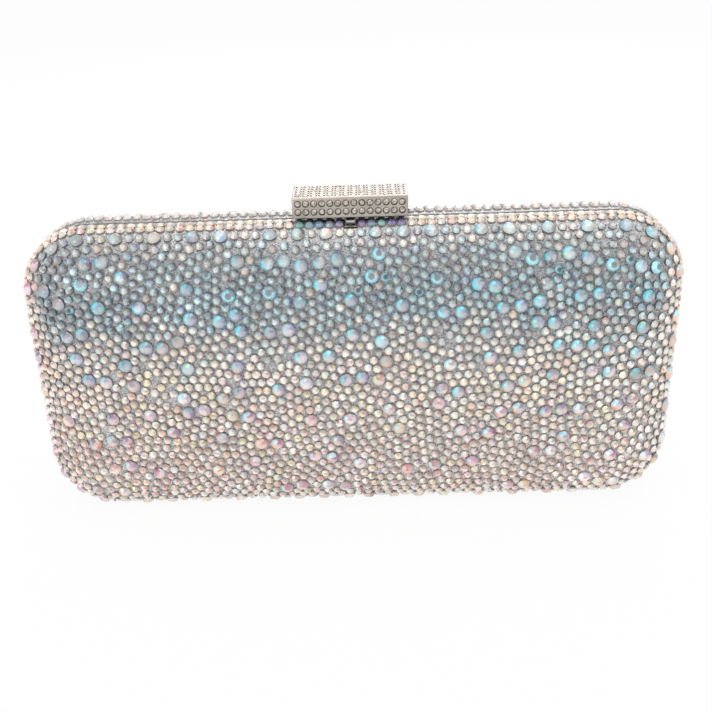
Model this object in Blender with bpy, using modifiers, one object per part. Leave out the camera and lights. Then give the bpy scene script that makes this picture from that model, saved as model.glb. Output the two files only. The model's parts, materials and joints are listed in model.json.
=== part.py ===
"""A hard-case clutch bag covered in crystals, as the separate pieces it is assembled from.

Two pillow-shaped halves fold open on two hinges along the bottom, and a bar clasp on top
tilts on the front half to free its tongue from a spring on the rear half.

Metres, +Z up. X runs along the bag, the seam between the halves is the plane y = 0 and
the front half is on the -Y side. z = 0 is the level of the crystals' tips underneath.
"""

import math
import random

import bmesh
import bpy
from mathutils import Matrix, Vector
from mathutils.bvhtree import BVHTree

MM = 0.001

# The whole bag, measured to the tips of the small crystals
WIDTH = 200.0 * MM
HEIGHT = 95.5 * MM
DEPTH = 44.0 * MM
CORNER_RADIUS = 21.0 * MM
MIDDLE = HEIGHT / 2
REACH_X = WIDTH / 2 - CORNER_RADIUS
REACH_Z = HEIGHT / 2 - CORNER_RADIUS

# The pillow shape of one half: a flat band beside the seam, a rounded edge, and a crown that
# falls away by these powers of the distance along X and Z
BAND = 4.5 * MM
EDGE_INSET = 16.0 * MM
EDGE_SWEEP = math.radians(70.0)
CROWN = 4.0 * MM
CROWN_POWER_X = 4
CROWN_POWER_Z = 2
EDGE_RADIUS_IN = EDGE_INSET / (1 - math.cos(EDGE_SWEEP))
EDGE_RADIUS_OUT = (DEPTH / 2 - CROWN - BAND) / math.sin(EDGE_SWEEP)

# How finely the walls are made: steps round a corner, along a long and a short side, and over
# the edge, and the shares of the face at which the crown has its rings
COVER_STEPS = (6, 4, 2, 5)
SHELL_STEPS = (6, 4, 2, 4)
LINING_STEPS = (4, 2, 2, 3)
FRAME_STEPS = (6, 1, 1)
CROWN_SHARES = (0.75, 0.5, 0.25)

# The layer of small stones: its tips are the bag's size along the seam, where the bag stands on
# two close rows of them, and the face has its surface at their mean level
FACE_DROP = 0.5 * MM
SEAM_ROW_STEPS = 1

# The large stones stand above the small ones: their girdle and table, and how deep they root
LARGE_RISE = 0.55 * MM
LARGE_GIRDLE = 2.2 * MM
LARGE_TABLE = 1.1 * MM
LARGE_ROOT = 0.5 * MM
LARGE_SIDES = 6

# The third row from the seam: its depth, the steps between its stones, and how many small ones
# lie between neighbouring large ones, from the middle of the top
THIRD_ROW = 10.3 * MM
THIRD_ROW_SMALL = (1, 1, 1, 3, 1, 2, 2, 2)
SMALL_PITCH = 3.15 * MM
LARGE_PITCH = 4.1 * MM

# Large stones over the face: wavy rows, closer together towards the top, with uneven steps
FACE_MARGIN = 7.4 * MM
FACE_ROWS = 9
ROW_CROWDING = 0.85
WAVE_HEIGHT = 2.4 * MM
WAVE_LENGTH = 12.0 * MM
UNEVEN = 1.3 * MM
LARGE_STEPS = (4.9 * MM, 5.4 * MM, 8.5 * MM, 12.0 * MM, 15.0 * MM, 19.0 * MM)
LARGE_SPACING = 4.8 * MM
LAYOUT_SEED = 47

# Room between pieces that touch: walls, and small hardware
WALL_GAP = 0.3 * MM
FIT_GAP = 0.2 * MM

# The walls of one half, from the crystals' tips inwards
COVER_THICKNESS = 1.7 * MM
SHELL_THICKNESS = 1.6 * MM
SHELL_OFFSET = COVER_THICKNESS + WALL_GAP
SHELL_INNER = SHELL_OFFSET + SHELL_THICKNESS
LINING_THICKNESS = 0.6 * MM
LINING_RIM = 0.8 * MM

# The metal frame round each half's mouth: a rim that shows and a flange inside the shell
SEAM_GAP = 0.2 * MM
RIM_INSET = 0.9 * MM
RIM_WIDTH = 2.4 * MM
RIM_CHAMFER = 0.6 * MM
RIM_EDGE = SEAM_GAP + RIM_WIDTH
WALL_RIM = RIM_EDGE + WALL_GAP
FLANGE_OUTER = SHELL_INNER + WALL_GAP
FLANGE_THICKNESS = 0.8 * MM
FLANGE_INNER = FLANGE_OUTER + FLANGE_THICKNESS
FLANGE_EDGE = 5.2 * MM
LINING_OFFSET = FLANGE_INNER + WALL_GAP

# The two hinges under the bag. Their pins lie level with the inside of the rims' chamfers,
# so that the rims turn past each other.
HINGE_X = 55.0 * MM
HINGES = (("left", -HINGE_X), ("right", HINGE_X))
HINGE_AXIS_Z = RIM_INSET + RIM_CHAMFER
HINGE_SIDES = 20
BARREL_RADIUS = 1.4 * MM
BORE_RADIUS = 0.9 * MM
PIN_RADIUS = 0.6 * MM
PIN_HEAD_RADIUS = 1.2 * MM
PIN_HEAD_THICKNESS = 0.5 * MM
BARREL_HALF_LENGTH = 8.0 * MM
CENTRE_KNUCKLE_HALF = 2.85 * MM
LEAF_HALF_LENGTH = 12.0 * MM
LEAF_THICKNESS = 0.6 * MM
LEAF_Z = LINING_OFFSET - HINGE_AXIS_Z
LEAF_EDGE = 5.0 * MM
WEB_NEAR = 0.5 * MM
WEB_FAR = 1.3 * MM
HINGE_NOTCH_Y = 1.9 * MM
HINGE_NOTCH_MARGIN = 0.4 * MM
LEAF_MARGIN = 0.4 * MM

# The rivets that hold the hinge leaves to the flanges
RIVET_X = 9.6 * MM
RIVET_Y = 3.4 * MM
RIVET_SHANK = 0.6 * MM
RIVET_HEAD = 1.2 * MM
RIVET_HEAD_HEIGHT = 0.5 * MM
RIVET_HOLE = RIVET_SHANK + FIT_GAP
SMALL_SIDES = 12

# Rounded heads, as shares of the head's radius and height from its crown outwards
DOMED_HEAD = ((0.7, 0.8), (1.0, 0.2))
LOW_HEAD = ((1.0, 0.5),)

# The clasp: its bar, and the pin it tilts on
BAR_LENGTH = 34.0 * MM
BAR_DEPTH = 13.0 * MM
BAR_HEIGHT = 6.4 * MM
BAR_CLEARANCE = 0.8 * MM
BAR_EDGE = 0.4 * MM
BAR_BOTTOM = HEIGHT + BAR_CLEARANCE
CLASP_PIN_Y = -4.0 * MM
CLASP_PIN_Z = HEIGHT - 0.6 * MM
CLASP_PIN_RADIUS = 0.45 * MM
CLASP_PIN_HOLE = 0.65 * MM

# The lever under the bar: a plate let into it, a neck to the pin and a tongue behind
LEVER_HALF_WIDTH = 1.3 * MM
LEVER_FRONT = -5.2 * MM
LEVER_REAR = 2.2 * MM
LEVER_THICKNESS = 0.7 * MM
LEVER_Z = BAR_BOTTOM + WALL_GAP
NECK_HALF_WIDTH = 0.55 * MM
NECK_RADIUS = 0.9 * MM
TONGUE_HALF_WIDTH = 1.2 * MM
TONGUE_FRONT = 1.0 * MM
TONGUE_REAR = 1.8 * MM
TONGUE_DROP = 2.9 * MM
CLASP_SCREW_Y = -1.4 * MM
CLASP_SCREW_LENGTH = 3.6 * MM
CLASP_SCREW_HEAD_HEIGHT = 0.45 * MM

# The bracket on the front half that carries the pin
BRACKET_HALF_WIDTH = 1.7 * MM
BRACKET_FRONT = -7.6 * MM
BRACKET_REAR = -3.2 * MM
BRACKET_THICKNESS = 0.4 * MM
BRACKET_Z = HEIGHT - SHELL_OFFSET + WALL_GAP
EAR_INNER = 0.8 * MM
EAR_OUTER = 1.4 * MM
EAR_RADIUS = 1.1 * MM
BRACKET_SLOT_MARGIN = 0.4 * MM
BRACKET_RIVET_Y = -6.3 * MM
BRACKET_RIVET_SHANK = 0.5 * MM
BRACKET_RIVET_HEAD = 0.8 * MM
BRACKET_RIVET_HOLE = BRACKET_RIVET_SHANK + FIT_GAP
SPRING_RIVET_HEAD_HEIGHT = 0.3 * MM

# The bent leaf that presses the clasp shut
LEAF_SPRING_THICKNESS = 0.25 * MM
CLASP_SPRING_WIDTH = 2.4 * MM
CLASP_SPRING_BEND = 0.55 * MM
CLASP_SPRING_STEPS = 6

# The spring on the rear half that the tongue snaps behind
KEEPER_WIDTH = 6.0 * MM
KEEPER_NOTCH = 3.4 * MM
KEEPER_TOP = HEIGHT - 1.7 * MM
KEEPER_Y = 0.6 * MM
KEEPER_FOOT_Y = 2.3 * MM
KEEPER_BEND = 0.3 * MM
KEEPER_STEPS = 4
KEEPER_RIVETS = (("left", -2.3 * MM), ("right", 2.3 * MM))
KEEPER_RIVET_Y = 1.6 * MM
KEEPER_RIVET_SHANK = 0.35 * MM
KEEPER_RIVET_HEAD = 0.6 * MM
NOTCH_FLOOR = HEIGHT - FLANGE_OUTER

MERGE_DISTANCE = 0.001 * MM
FAR = 20.0 * MM
FRONT, REAR = -1, 1
HALVES = (("front", FRONT), ("rear", REAR))


def start_scene():
    """Empties the scene and makes one collection for the bag and one for its cutters."""
    for old in list(bpy.data.objects):
        bpy.data.objects.remove(old)
    collections = []
    for name in ("clutch_bag", "cutters"):
        collection = bpy.data.collections.new(name)
        bpy.context.scene.collection.children.link(collection)
        collections.append(collection)
    return collections


PARTS, CUTTERS = start_scene()


def make_material(name, color, roughness, metallic=0.0):
    """A Principled material with the piece's plain colour and finish."""
    material = bpy.data.materials.new(name)
    material.use_nodes = True
    shader = material.node_tree.nodes["Principled BSDF"]
    shader.inputs["Base Color"].default_value = (*color, 1.0)
    shader.inputs["Roughness"].default_value = roughness
    shader.inputs["Metallic"].default_value = metallic
    return material


CRYSTAL = make_material("crystal_cover", (0.62, 0.60, 0.58), 0.25, 0.2)
ABS = make_material("shell_plastic", (0.55, 0.55, 0.56), 0.5)
SATIN = make_material("lining_satin", (0.58, 0.57, 0.60), 0.6)
FRAME_METAL = make_material("frame_metal", (0.60, 0.60, 0.60), 0.3, 1.0)
HINGE_STEEL = make_material("hinge_steel", (0.56, 0.56, 0.57), 0.35, 1.0)
CLASP_METAL = make_material("clasp_metal", (0.58, 0.57, 0.55), 0.3, 1.0)
SPRING_STEEL = make_material("spring_steel", (0.50, 0.51, 0.53), 0.35, 1.0)


def mesh_of(shape, name):
    """Turns a bmesh into a mesh."""
    mesh = bpy.data.meshes.new(name)
    shape.to_mesh(mesh)
    shape.free()
    return mesh


def put(name, mesh, material, where=(0.0, 0.0, 0.0)):
    """A piece of the bag: an object in its collection, with its material."""
    piece = bpy.data.objects.new(name, mesh)
    piece.location = where
    if not mesh.materials:
        mesh.materials.append(material)
    PARTS.objects.link(piece)
    return piece


def tool(name, mesh):
    """A shape that is only used to cut or extend a piece."""
    helper = bpy.data.objects.new(name, mesh)
    helper.hide_render = True
    helper.display_type = "WIRE"
    CUTTERS.objects.link(helper)
    return helper


def combine(piece, helper, operation):
    """Cuts a helper out of a piece, or joins it to the piece."""
    boolean = piece.modifiers.new(helper.name, "BOOLEAN")
    boolean.operation = operation
    boolean.object = helper


def cut(piece, helper):
    combine(piece, helper, "DIFFERENCE")


def extend(piece, helper):
    combine(piece, helper, "UNION")


def settled_mesh(helper, name):
    """The mesh of an object with its modifiers applied, for copies to share."""
    bpy.context.view_layer.update()
    graph = bpy.context.evaluated_depsgraph_get()
    mesh = bpy.data.meshes.new_from_object(helper.evaluated_get(graph))
    mesh.name = name
    return mesh


def box_mesh(name, low, high):
    """A box between two corners."""
    low, high = Vector(low), Vector(high)
    place = Matrix.Translation((low + high) / 2) @ Matrix.Diagonal((*(high - low), 1.0))
    shape = bmesh.new()
    bmesh.ops.create_cube(shape, size=1.0, matrix=place)
    return mesh_of(shape, name)


def facing(where, direction):
    """A place whose Z axis points along a direction."""
    return Matrix.Translation(where) @ direction.to_track_quat("Z", "X").to_matrix().to_4x4()


def rod_mesh(name, start, end, radius, sides=HINGE_SIDES):
    """A round bar between two points, for barrels, holes and bores."""
    start, end = Vector(start), Vector(end)
    along = end - start
    shape = bmesh.new()
    bmesh.ops.create_cone(shape, cap_ends=True, segments=sides, radius1=radius, radius2=radius,
                          depth=along.length, matrix=facing((start + end) / 2, along))
    return mesh_of(shape, name)


def upright_hole(name, where, low, high, radius):
    """A cutter for a rivet or screw hole at an (x, y) place, between two heights."""
    return tool(name, rod_mesh(name, (*where, low), (*where, high), radius, SMALL_SIDES))


def profile_mesh(name, profile):
    """A line of (radius, height) points, from the top of a turned piece to its bottom."""
    shape = bmesh.new()
    line = [shape.verts.new((radius, 0.0, height)) for radius, height in profile]
    for above, below in zip(line, line[1:]):
        shape.edges.new((above, below))
    return mesh_of(shape, name)


def head(radius, base, height, dome):
    """The (radius, height) points of a fastener's rounded head, from its crown to its underside."""
    rounded = [(radius * wide, base + height * high) for wide, high in dome]
    return [(0.0, base + height), *rounded, (radius, base)]


def turn(piece, sides):
    """Turns a profile about its own Z axis."""
    screw = piece.modifiers.new("turn", "SCREW")
    screw.axis = "Z"
    screw.angle = math.tau
    screw.steps = sides
    screw.render_steps = sides
    screw.use_merge_vertices = True
    screw.merge_threshold = MERGE_DISTANCE
    return piece


def outline(inset, steps):
    """The bag's rounded rectangle seen from the front, drawn in by inset, as (x, z) points.

    Steps are those round a corner, along a long side and along a short side.
    """
    corner_steps, long_steps, short_steps = steps
    radius = CORNER_RADIUS - inset
    corners = []
    for sign_x, sign_z, start in ((1, 1, 0), (-1, 1, 90), (-1, -1, 180), (1, -1, 270)):
        angles = [math.radians(start + 90 * step / corner_steps) for step in range(corner_steps + 1)]
        corners.append([Vector((sign_x * REACH_X + radius * math.cos(angle),
                                MIDDLE + sign_z * REACH_Z + radius * math.sin(angle)))
                        for angle in angles])
    points = []
    for index, corner in enumerate(corners):
        following = corners[(index + 1) % len(corners)]
        side_steps = short_steps if index % 2 else long_steps
        points += corner
        points += [corner[-1].lerp(following[0], step / side_steps) for step in range(1, side_steps)]
    return points


def wall_section(offset, rim, edge_steps, drop):
    """A wall's (inset, depth) points from its rim to its crown, offset inwards from the tips.

    Past the rows beside the seam it is offset by the drop as well.
    """
    section = [(offset, rim)]
    for step in range(edge_steps + 1):
        angle = EDGE_SWEEP * step / edge_steps
        inwards = Vector((EDGE_RADIUS_OUT * math.cos(angle), -EDGE_RADIUS_IN * math.sin(angle)))
        inwards = inwards.normalized() * (offset + (drop if step > SEAM_ROW_STEPS else 0.0))
        section.append((EDGE_RADIUS_IN * (1 - math.cos(angle)) + inwards.x,
                        BAND + EDGE_RADIUS_OUT * math.sin(angle) + inwards.y))
    return section


def loft(shape, near, far):
    """Faces between two closed rings of the same number of points."""
    count = len(near)
    for index in range(count):
        following = (index + 1) % count
        shape.faces.new((near[index], near[following], far[following], far[index]))


def make_wall(name, side, offset, thickness, rim, steps, material, drop=0.0):
    """One half's curved wall: an open surface from rim to crown, given its thickness inwards."""
    *outline_steps, edge_steps = steps
    section = wall_section(offset, rim, edge_steps, drop)
    shape = bmesh.new()
    rings = []
    for inset, depth in section:
        rings.append([shape.verts.new((x, side * depth, z)) for x, z in outline(inset, outline_steps)])
    edge_inset, edge_depth = section[-1]
    reach_x = WIDTH / 2 - edge_inset
    reach_z = HEIGHT / 2 - edge_inset
    for share in CROWN_SHARES:
        ring = []
        for x, z in outline(edge_inset, outline_steps):
            x, rise = x * share, (z - MIDDLE) * share
            fall_x = (x / reach_x) ** CROWN_POWER_X
            fall_z = (rise / reach_z) ** CROWN_POWER_Z
            depth = edge_depth + CROWN * (1 - fall_x) * (1 - fall_z)
            ring.append(shape.verts.new((x, side * depth, MIDDLE + rise)))
        rings.append(ring)
    for near, far in zip(rings, rings[1:]):
        loft(shape, near, far)
    peak = shape.verts.new((0.0, side * (edge_depth + CROWN), MIDDLE))
    last = rings[-1]
    for index, vert in enumerate(last):
        shape.faces.new((vert, last[(index + 1) % len(last)], peak))
    shape.normal_update()
    if peak.normal.y * side < 0:
        bmesh.ops.reverse_faces(shape, faces=shape.faces)
    wall = put(name, mesh_of(shape, name), material)
    wall.data.shade_smooth()
    solidify = wall.modifiers.new("thickness", "SOLIDIFY")
    solidify.thickness = thickness
    solidify.offset = -1.0
    solidify.use_even_offset = True
    if drop:
        beside_seam = (SEAM_ROW_STEPS + 2) * len(rings[0])
        share = wall.vertex_groups.new(name="share_of_thickness")
        share.add(range(beside_seam), 1.0, "REPLACE")
        share.add(range(beside_seam, len(wall.data.vertices)), 1.0 - drop / thickness, "REPLACE")
        solidify.vertex_group = share.name
    return wall


def walk_round(inset, distance):
    """The (x, z) point that far round the outline from the middle of its top, towards +X."""
    radius = CORNER_RADIUS - inset
    quarter = radius * math.pi / 2
    if distance < REACH_X:
        return distance, HEIGHT - inset
    distance -= REACH_X
    if distance < quarter:
        angle = distance / radius
        return REACH_X + radius * math.sin(angle), MIDDLE + REACH_Z + radius * math.cos(angle)
    distance -= quarter
    if distance < 2 * REACH_Z:
        return WIDTH / 2 - inset, MIDDLE + REACH_Z - distance
    distance -= 2 * REACH_Z
    if distance < quarter:
        angle = distance / radius
        return REACH_X + radius * math.cos(angle), MIDDLE - REACH_Z - radius * math.sin(angle)
    return REACH_X - (distance - quarter), inset


def third_row_stones():
    """The large stones of the third row, as (x, z), the same on both sides of the middle."""
    inset = EDGE_RADIUS_IN * (1 - math.cos(math.asin((THIRD_ROW - BAND) / EDGE_RADIUS_OUT)))
    half_round = 2 * REACH_X + 2 * REACH_Z + math.pi * (CORNER_RADIUS - inset)
    places = []
    distance = SMALL_PITCH + LARGE_PITCH
    while distance < half_round - SMALL_PITCH:
        x, z = walk_round(inset, distance)
        places += [(x, z), (-x, z)]
        between = THIRD_ROW_SMALL[len(places) // 2 % len(THIRD_ROW_SMALL)]
        distance += 2 * LARGE_PITCH + (between - 1) * SMALL_PITCH
    return places


def on_face(x, z):
    """Whether a point lies on the face, clear of the third row."""
    beyond_x = max(abs(x) - REACH_X, 0.0)
    beyond_z = max(abs(z - MIDDLE) - REACH_Z, 0.0)
    return math.hypot(beyond_x, beyond_z) <= CORNER_RADIUS - FACE_MARGIN


def face_stones():
    """The large stones over the face, as (x, z): singles, pairs and chains in wavy rows."""
    draw = random.Random(LAYOUT_SEED)
    places = []
    for row in range(FACE_ROWS + 1):
        level = FACE_MARGIN + (HEIGHT - 2 * FACE_MARGIN) * (row / FACE_ROWS) ** ROW_CROWDING
        phase = draw.uniform(0.0, math.tau)
        x = FACE_MARGIN - WIDTH / 2 + draw.uniform(0.0, LARGE_STEPS[-1])
        while x < WIDTH / 2 - FACE_MARGIN:
            z = level + WAVE_HEIGHT * math.sin(x / WAVE_LENGTH + phase) + draw.uniform(-UNEVEN, UNEVEN)
            clear = all(math.hypot(x - other_x, z - other_z) > LARGE_SPACING for other_x, other_z in places)
            if clear and on_face(x, z):
                places.append((x, z))
            x += draw.choice(LARGE_STEPS)
    return places


def large_stones_mesh(cover):
    """Every large stone of the front half as a low frustum, rooted in the cover's surface."""
    surface = BVHTree.FromPolygons([vert.co for vert in cover.data.vertices],
                                   [face.vertices[:] for face in cover.data.polygons])
    points = [Vector((x, -THIRD_ROW, z)) for x, z in third_row_stones()]
    points += [surface.ray_cast(Vector((x, -DEPTH, z)), Vector((0.0, 1.0, 0.0)))[0]
               for x, z in face_stones()]
    height = LARGE_ROOT + FACE_DROP + LARGE_RISE
    draw = random.Random(LAYOUT_SEED)
    shape = bmesh.new()
    for point in points:
        point = surface.find_nearest(point)[0]
        around = (Vector((reach * cos, 0.0, reach * sin)) for reach in (LARGE_TABLE, LARGE_GIRDLE)
                  for cos, sin in ((1, 0), (0, 1), (-1, 0), (0, -1)))
        normal = sum((surface.find_nearest(point + step)[1] for step in around), Vector()).normalized()
        middle = point + normal * (height / 2 - LARGE_ROOT)
        turned = Matrix.Rotation(draw.uniform(0.0, math.tau), 4, "Z")
        bmesh.ops.create_cone(shape, cap_ends=True, segments=LARGE_SIDES, radius1=LARGE_GIRDLE,
                              radius2=LARGE_TABLE, depth=height, matrix=facing(middle, normal) @ turned)
    return mesh_of(shape, "large_stones")


def make_frame(name, side):
    """The metal ring round one half's mouth, chamfered at the seam."""
    section = ((RIM_INSET + RIM_CHAMFER, SEAM_GAP), (RIM_INSET, SEAM_GAP + RIM_CHAMFER),
               (RIM_INSET, RIM_EDGE), (FLANGE_OUTER, RIM_EDGE),
               (FLANGE_OUTER, FLANGE_EDGE), (FLANGE_INNER, FLANGE_EDGE),
               (FLANGE_INNER, SEAM_GAP))
    shape = bmesh.new()
    rings = []
    for inset, depth in section:
        rings.append([shape.verts.new((x, side * depth, z)) for x, z in outline(inset, FRAME_STEPS)])
    for near, far in zip(rings, rings[1:] + rings[:1]):
        loft(shape, near, far)
    bmesh.ops.recalc_face_normals(shape, faces=shape.faces)
    frame = put(name, mesh_of(shape, name), FRAME_METAL)
    reach = BARREL_HALF_LENGTH + WALL_GAP + PIN_HEAD_THICKNESS + HINGE_NOTCH_MARGIN
    for hinge, x in HINGES:
        notch = box_mesh("hinge_notch", (x - reach, -HINGE_NOTCH_Y, -FAR),
                         (x + reach, HINGE_NOTCH_Y, LINING_OFFSET))
        cut(frame, tool(f"{name}_{hinge}_notch", notch))
        for rivet, offset_x in (("a", -RIVET_X), ("b", RIVET_X)):
            cut(frame, upright_hole(f"{name}_{hinge}_hole_{rivet}", (x + offset_x, side * RIVET_Y),
                                    0.0, LINING_OFFSET, RIVET_HOLE))
    return frame


def leaf_mesh(name, side, knuckles):
    """A hinge leaf about its own pin: a plate on the flange, webs and knuckles, all bored."""
    near, far = sorted((side * WEB_NEAR, side * LEAF_EDGE))
    top = LEAF_Z + LEAF_THICKNESS
    plate = box_mesh(name, (-LEAF_HALF_LENGTH, near, LEAF_Z), (LEAF_HALF_LENGTH, far, top))
    leaf = tool(name, plate)
    web_near, web_far = sorted((side * WEB_NEAR, side * WEB_FAR))
    for index, (start, end) in enumerate(knuckles):
        web = box_mesh("web", (start, web_near, WEB_NEAR), (end, web_far, top))
        extend(leaf, tool(f"{name}_web_{index}", web))
        barrel = rod_mesh("barrel", (start, 0.0, 0.0), (end, 0.0, 0.0), BARREL_RADIUS)
        extend(leaf, tool(f"{name}_barrel_{index}", barrel))
    bore = rod_mesh("bore", (-FAR, 0.0, 0.0), (FAR, 0.0, 0.0), BORE_RADIUS)
    cut(leaf, tool(f"{name}_bore", bore))
    for index, x in enumerate((-RIVET_X, RIVET_X)):
        cut(leaf, upright_hole(f"{name}_hole_{index}", (x, side * RIVET_Y), 0.0, FAR, RIVET_HOLE))
    return settled_mesh(leaf, f"{name}_leaf")


def make_hinges(halves):
    """Two hinges: a leaf and its rivets on each half, and a headed pin through the knuckles."""
    knuckle_gap = CENTRE_KNUCKLE_HALF + WALL_GAP
    knuckles = {"front": ((-BARREL_HALF_LENGTH, -knuckle_gap), (knuckle_gap, BARREL_HALF_LENGTH)),
                "rear": ((-CENTRE_KNUCKLE_HALF, CENTRE_KNUCKLE_HALF),)}
    leaves = {half: leaf_mesh(f"{half}_hinge", side, knuckles[half]) for half, side in HALVES}
    neck = BARREL_HALF_LENGTH + WALL_GAP
    end = neck + PIN_HEAD_THICKNESS
    upper = [(0.0, end), (PIN_HEAD_RADIUS, end), (PIN_HEAD_RADIUS, neck), (PIN_RADIUS, neck)]
    lower = [(radius, -height) for radius, height in reversed(upper)]
    pin = profile_mesh("hinge_pin", upper + lower)
    seat = LEAF_Z + LEAF_THICKNESS + FIT_GAP
    foot = FLANGE_OUTER - HINGE_AXIS_Z + FIT_GAP / 2
    rivet = profile_mesh("hinge_rivet", [*head(RIVET_HEAD, seat, RIVET_HEAD_HEIGHT, DOMED_HEAD),
                                         (RIVET_SHANK, seat), (RIVET_SHANK, foot), (0.0, foot)])
    for hinge, x in HINGES:
        axis = Vector((x, 0.0, HINGE_AXIS_Z))
        for half, side in HALVES:
            halves[half].append(put(f"{hinge}_hinge_{half}_leaf", leaves[half], HINGE_STEEL, axis))
            for end_name, outwards in (("outer", 1), ("inner", -1)):
                where = axis + Vector((math.copysign(RIVET_X, x * outwards), side * RIVET_Y, 0.0))
                name = f"{hinge}_hinge_{half}_{end_name}_rivet"
                halves[half].append(turn(put(name, rivet, HINGE_STEEL, where), SMALL_SIDES))
        hinge_pin = turn(put(f"{hinge}_hinge_pin", pin, HINGE_STEEL, axis), HINGE_SIDES)
        hinge_pin.rotation_euler = (0.0, math.pi / 2, 0.0)
        halves["rear"].append(hinge_pin)


def make_bracket(halves):
    """The clasp's bracket on the front shell: a slotted base with a rivet hole, and two ears."""
    plate = box_mesh("clasp_bracket", (-BRACKET_HALF_WIDTH, BRACKET_FRONT, BRACKET_Z),
                     (BRACKET_HALF_WIDTH, BRACKET_REAR, BRACKET_Z + BRACKET_THICKNESS))
    base = put("clasp_bracket", plate, CLASP_METAL)
    for ear, side in (("left", -1), ("right", 1)):
        near, far = sorted((side * EAR_INNER, side * EAR_OUTER))
        post = box_mesh("ear_post", (near, CLASP_PIN_Y - EAR_RADIUS, BRACKET_Z),
                        (far, BRACKET_REAR, CLASP_PIN_Z))
        extend(base, tool(f"bracket_{ear}_post", post))
        eye = rod_mesh("ear_eye", (near, CLASP_PIN_Y, CLASP_PIN_Z), (far, CLASP_PIN_Y, CLASP_PIN_Z),
                       EAR_RADIUS)
        extend(base, tool(f"bracket_{ear}_eye", eye))
    slot = box_mesh("bracket_slot", (-EAR_INNER, CLASP_PIN_Y - EAR_RADIUS - FIT_GAP, BRACKET_Z - FAR),
                    (EAR_INNER, 0.0, BRACKET_Z + FAR))
    cut(base, tool("bracket_slot", slot))
    pin_hole = rod_mesh("bracket_pin_hole", (-FAR, CLASP_PIN_Y, CLASP_PIN_Z),
                        (FAR, CLASP_PIN_Y, CLASP_PIN_Z), CLASP_PIN_HOLE)
    cut(base, tool("bracket_pin_hole", pin_hole))
    rivet_hole = upright_hole("bracket_rivet_hole", (0.0, BRACKET_RIVET_Y), HEIGHT - FAR, HEIGHT,
                              BRACKET_RIVET_HOLE)
    cut(base, rivet_hole)
    cut(bpy.data.objects["front_shell"], rivet_hole)
    pin_half = EAR_OUTER + FIT_GAP
    pin = rod_mesh("clasp_pin", (-pin_half, 0.0, 0.0), (pin_half, 0.0, 0.0), CLASP_PIN_RADIUS, SMALL_SIDES)
    halves["front"] += [base, put("clasp_pin", pin, HINGE_STEEL, (0.0, CLASP_PIN_Y, CLASP_PIN_Z))]


def strip(name, path, width, material):
    """A bent leaf spring: a ribbon through (y, z) points, as wide as given along X."""
    shape = bmesh.new()
    line = [shape.verts.new((-width / 2, y, z)) for y, z in path]
    edges = [shape.edges.new(pair) for pair in zip(line, line[1:])]
    grown = bmesh.ops.extrude_edge_only(shape, edges=edges)["geom"]
    bmesh.ops.translate(shape, vec=(width, 0.0, 0.0),
                        verts=[item for item in grown if isinstance(item, bmesh.types.BMVert)])
    leaf = put(name, mesh_of(shape, name), material)
    solidify = leaf.modifiers.new("thickness", "SOLIDIFY")
    solidify.thickness = LEAF_SPRING_THICKNESS
    solidify.offset = 0.0
    solidify.use_even_offset = True
    return leaf


def arc(center, radius, start, end, steps):
    """(y, z) points along an arc, from one angle to the other in degrees."""
    angles = [math.radians(start + (end - start) * step / steps) for step in range(steps + 1)]
    return [(center[0] + radius * math.cos(angle), center[1] + radius * math.sin(angle))
            for angle in angles]


def make_clasp_spring(halves):
    """A C-shaped leaf under the bar's front edge, and the rivet that holds it and the bracket."""
    foot_z = BRACKET_Z + BRACKET_THICKNESS + FIT_GAP + LEAF_SPRING_THICKNESS / 2
    bend_y = BRACKET_FRONT + CLASP_SPRING_BEND + LEAF_SPRING_THICKNESS / 2
    clear = CLASP_PIN_Y - EAR_RADIUS - WALL_GAP
    path = [(clear, foot_z)]
    path += arc((bend_y, foot_z + CLASP_SPRING_BEND), CLASP_SPRING_BEND, 270, 90, CLASP_SPRING_STEPS)
    path.append((clear, BAR_BOTTOM - FIT_GAP - LEAF_SPRING_THICKNESS / 2))
    leaf = strip("clasp_spring", path, CLASP_SPRING_WIDTH, SPRING_STEEL)
    cut(leaf, upright_hole("clasp_spring_hole", (0.0, BRACKET_RIVET_Y), foot_z - CLASP_SPRING_BEND / 2,
                           foot_z + CLASP_SPRING_BEND / 2, BRACKET_RIVET_HOLE))
    seat = foot_z + LEAF_SPRING_THICKNESS / 2 + FIT_GAP
    tail = HEIGHT - FLANGE_INNER + FIT_GAP
    end = tail - SPRING_RIVET_HEAD_HEIGHT
    profile = head(BRACKET_RIVET_HEAD, seat, SPRING_RIVET_HEAD_HEIGHT, LOW_HEAD)
    profile += [(BRACKET_RIVET_SHANK, seat), (BRACKET_RIVET_SHANK, tail)]
    profile += [(BRACKET_RIVET_HEAD, tail), (BRACKET_RIVET_HEAD, end), (0.0, end)]
    rivet = put("bracket_rivet", profile_mesh("bracket_rivet", profile), CLASP_METAL,
                (0.0, BRACKET_RIVET_Y, 0.0))
    halves["front"] += [leaf, turn(rivet, SMALL_SIDES)]


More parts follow.
